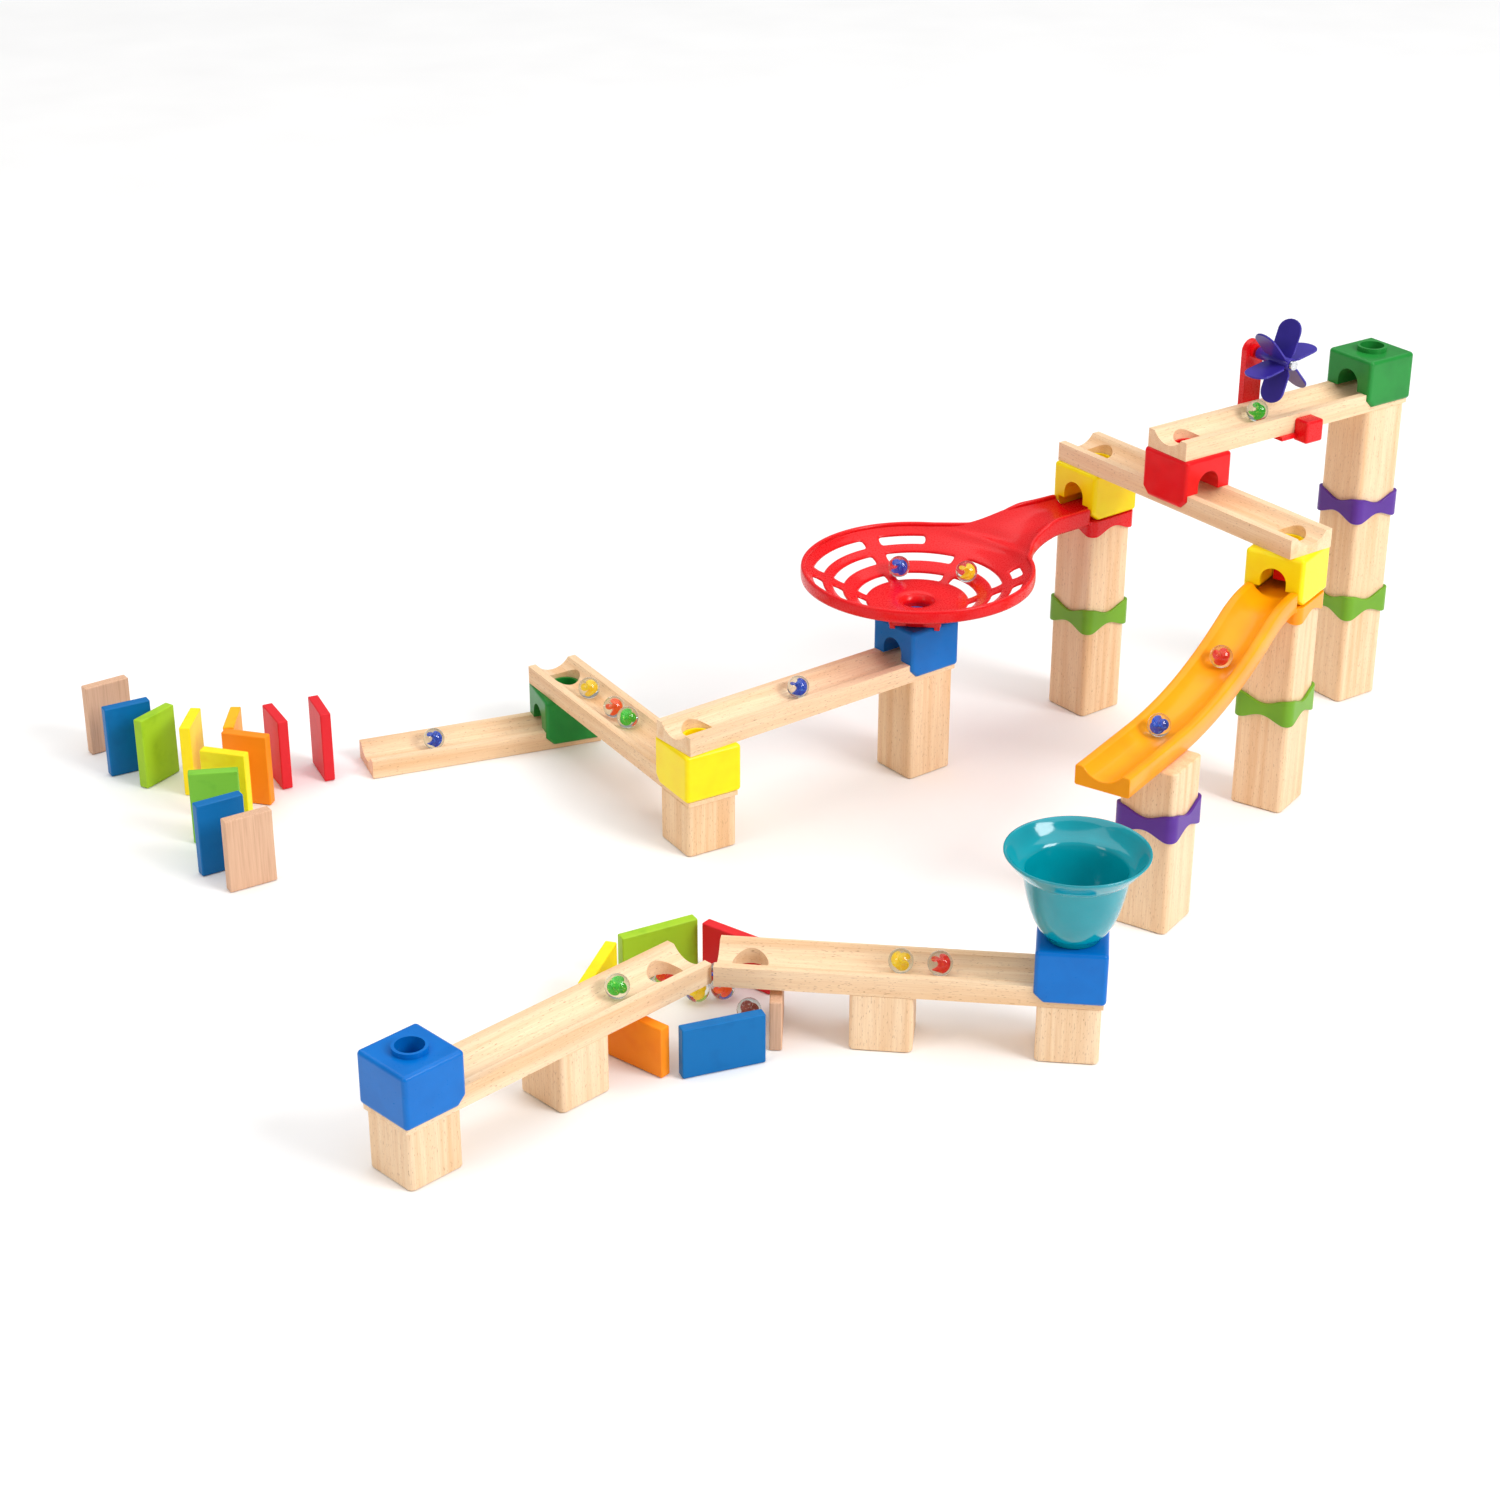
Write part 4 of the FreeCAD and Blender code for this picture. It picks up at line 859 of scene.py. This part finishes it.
def make_wheel():
    """Six petals in planes that hold the axle, on a hub with a bore."""
    joint = next(j for j in frame["joints"] if j["name"] == "spinner_turn")
    hub_spot = Vector(joint["pos_m"]) / MM
    axis = Vector(joint["axis"]).normalized()
    up = Vector((0, 0, 1))
    ahead = axis.cross(up)
    basis = Matrix((ahead, axis, up)).transposed().to_4x4()
    place = Matrix.Scale(MM, 4) @ Matrix.Translation(hub_spot) @ basis
    near, far, tip, half_thick = -4.0, 18.0, 31.4, 0.8
    root, shoulder, crown = 3.2, 8.0, 9.0
    centre, half_long = (near + far) / 2, (far - near) / 2
    outline = [(near + 3.5, root), (near, shoulder)]
    for k in range(13):
        angle = math.radians(180 - 15 * k)
        outline.append((centre + half_long * math.cos(angle), tip - crown + crown * math.sin(angle)))
    outline += [(far, shoulder), (far - 3.5, root)]
    for k in range(6):
        turn = Matrix.Rotation(math.radians(60.0 * k + WHEEL_PHASE), 4, "Y")
        points = []
        for side in (-half_thick, half_thick):
            for along, out in outline:
                cup = 1.6 * math.sin(math.pi * min(1.0, out / tip))
                points.append((side + cup, along, out))
        count = len(outline)
        faces = [tuple(range(count)), tuple(reversed(range(count, 2 * count)))] + prism_sides(count)
        name = "wheel_petal_%d" % (k + 1)
        petal = mesh_piece(name, points, faces, indigo_plastic, place @ turn, smooth=False)
        soften(petal, 0.5, 3)
        stand_for(petal, "spinner", "indigo_plastic", "windmill_spinner")
    profile = [(2.1, -15.3), (4.1, -15.3), (4.5, -14.9), (4.5, 17.7), (4.1, 18.1), (2.1, 18.1)]
    lay = Matrix.Rotation(math.radians(-90), 4, "X")
    hub = lathe("wheel_hub", profile, indigo_plastic, place @ lay, 48)
    stand_for(hub, "spinner", "indigo_plastic", "windmill_spinner")


make_wheel()


# ---------------------------------------------------------------- marbles
VANES = {
    "green": (rgb(60, 190, 40), rgb(210, 240, 90)),
    "blue": (rgb(24, 70, 190), rgb(90, 160, 240)),
    "yellow": (rgb(255, 205, 10), rgb(255, 240, 130)),
    "red": (rgb(235, 40, 20), rgb(255, 170, 60)),
    "orange": (rgb(250, 90, 20), rgb(255, 60, 60)),
    "brown": (rgb(150, 70, 60), rgb(240, 220, 210)),
}
vane_glasses = {key: painted_glow_vane_glass("vane_" + key, *pair) for key, pair in VANES.items()}
MARBLE = 8.0
# the coloured core is small, because the glass around it magnifies it
CORE_REACH, CORE_HALF = 4.2, 4.6


def sphere_points(radius, rings, steps):
    points = [(0, 0, radius)]
    for i in range(1, rings):
        polar_angle = math.pi * i / rings
        for k in range(steps):
            angle = 2 * math.pi * k / steps
            flat = radius * math.sin(polar_angle)
            points.append((flat * math.cos(angle), flat * math.sin(angle), radius * math.cos(polar_angle)))
    points.append((0, 0, -radius))
    faces = [(0, 1 + k, 1 + (k + 1) % steps) for k in range(steps)]
    for i in range(rings - 2):
        for k in range(steps):
            a, b = 1 + i * steps + k, 1 + i * steps + (k + 1) % steps
            faces.append((a, a + steps, b + steps, b))
    last = len(points) - 1
    base = last - steps
    faces += [(last, base + (k + 1) % steps, base + k) for k in range(steps)]
    return points, faces


def make_marble(name, centre, body, node, shade, seed):
    random.seed(seed)
    lean = Matrix.Rotation(random.uniform(0.3, 1.3), 4, "X")
    tilt = lean @ Matrix.Rotation(random.uniform(0, 6.28), 4, "Z")
    place = Matrix.Scale(MM, 4) @ Matrix.Translation(centre) @ tilt
    points, faces = sphere_points(MARBLE, 24, 40)
    ball = mesh_piece(name + "_glass", points, faces, clear_glass, place)
    stand_for(ball, body, "marble_glass", node)
    # three curved ribbons that twist about the marble's axis
    for ribbon in range(3):
        turn = 2 * math.pi * ribbon / 3
        rows, columns = 15, 7
        both = []
        for side in (-1, 1):
            for i in range(rows):
                along = -1 + 2 * i / (rows - 1)
                width = CORE_REACH * math.sqrt(max(0.0, 1 - along * along)) + 0.15
                for j in range(columns):
                    out = width * j / (columns - 1)
                    angle = turn + 1.5 * along + 0.06 * out
                    thick = side * 0.6 * (1 - out / CORE_HALF) + side * 0.12
                    x = out * math.cos(angle) - thick * math.sin(angle)
                    y = out * math.sin(angle) + thick * math.cos(angle)
                    both.append((x, y, CORE_HALF * along))
        count = rows * columns
        sheet = grid_faces(rows, columns)
        faces = sheet + [tuple(count + index for index in reversed(face)) for face in sheet]
        edge = list(range(columns)) + [i * columns + columns - 1 for i in range(1, rows)]
        edge += [(rows - 1) * columns + j for j in range(columns - 2, -1, -1)]
        edge += [i * columns for i in range(rows - 2, 0, -1)]
        faces += [(a, b, count + b, count + a) for a, b in zip(edge, edge[1:] + edge[:1])]
        vane = mesh_piece("%s_vane_%d" % (name, ribbon + 1), both, faces, vane_glasses[shade], place)
        stand_for(vane, body, "marble_glass", node)


def by_distance(origin):
    return lambda spot: (Vector(spot) - origin).length


# the node, where to count from, and the colours in that order
MARBLES = [
    ("marble_rail_1", "green_block_a", ["green"]),
    ("marbles_bowl", "rail_3_bowl_exit", ["blue", "yellow"]),
    ("marble_rail_3", "blue_block_d", ["blue"]),
    ("marbles_rail_4", "yellow_block_e", ["green", "orange", "yellow"]),
    ("marble_rail_5", "green_block_f", ["blue"]),
    ("marbles_slide", "yellow_block_c", ["red", "blue"]),
    ("marbles_rail_6", "blue_block_g", ["red", "yellow"]),
    ("marble_rail_7", "blue_block_h", ["green"]),
    ("marbles_pen", "pen_dominoes", ["yellow", "orange", "red", "brown", "blue"]),
]
seed = 11
for node, origin, shades in MARBLES:
    centres = sorted(island_centres(node), key=by_distance(middle(origin)))
    for index, (centre, shade) in enumerate(zip(centres, shades)):
        make_marble("%s_%d" % (node, index + 1), centre, node, node, shade, seed)
        seed += 1


# ---------------------------------------------------------------- floor, light and camera
def make_floor():
    mesh = bpy.data.meshes.new("floor")
    reach = 9.0
    corners = [(-reach, -reach, 0), (reach, -reach, 0), (reach, reach, 0), (-reach, reach, 0)]
    mesh.from_pydata(corners, [], [(0, 1, 2, 3)])
    shader = Shader("floor_paper")
    speckle = shader.noise(shader.coordinates(), 6.0, 2.0)
    shader.join(shader.ramp(speckle, [(0.2, rgb(247, 247, 247)), (0.8, rgb(252, 252, 252))]),
                shader.surface.inputs["Base Color"])
    shader.set(Roughness=0.9, Specular_IOR_Level=0.1)
    mesh.materials.append(shader.material)
    floor = bpy.data.objects.new("floor", mesh)
    floor.location.z = -0.0004
    bpy.context.scene.collection.objects.link(floor)


def area_light(name, spot, target, size, power, colour=(1, 1, 1)):
    lamp = bpy.data.lights.new(name, "AREA")
    lamp.shape = "RECTANGLE"
    lamp.size, lamp.size_y = size
    lamp.energy = power
    lamp.color = colour
    light = bpy.data.objects.new(name, lamp)
    light.location = spot
    light.rotation_euler = (Vector(target) - Vector(spot)).to_track_quat("-Z", "Y").to_euler()
    bpy.context.scene.collection.objects.link(light)


make_floor()
area_light("key_right", (2.6, -1.5, 2.1), (0.1, 0.0, 0.1), (1.5, 1.5), 80.0)
area_light("fill_left", (-2.6, -1.8, 1.9), (0.0, 0.0, 0.1), (1.1, 1.4), 18.0, (1.0, 0.86, 0.72))
area_light("overhead", (0.0, 2.0, 9.0), (0.0, 2.0, 0.0), (16.0, 16.0), 1020.0)

world = bpy.data.worlds.new("studio")
world.use_nodes = True
world.node_tree.nodes["Background"].inputs["Color"].default_value = (1, 1, 1, 1)
world.node_tree.nodes["Background"].inputs["Strength"].default_value = 0.30
bpy.context.scene.world = world
bpy.context.scene.view_settings.view_transform = "Standard"
bpy.context.scene.view_settings.look = "None"

CAMERA_DIP = 26.45
eye = bpy.data.cameras.new("camera")
eye.lens = 69.15
eye.sensor_width = 36.0
eye.clip_end = 30.0
camera = bpy.data.objects.new("camera", eye)
camera.location = (0.0024, -1.7370, 0.9729)
camera.rotation_euler = (math.radians(90.0 - CAMERA_DIP), 0.0, 0.0)
bpy.context.scene.collection.objects.link(camera)
bpy.context.scene.camera = camera
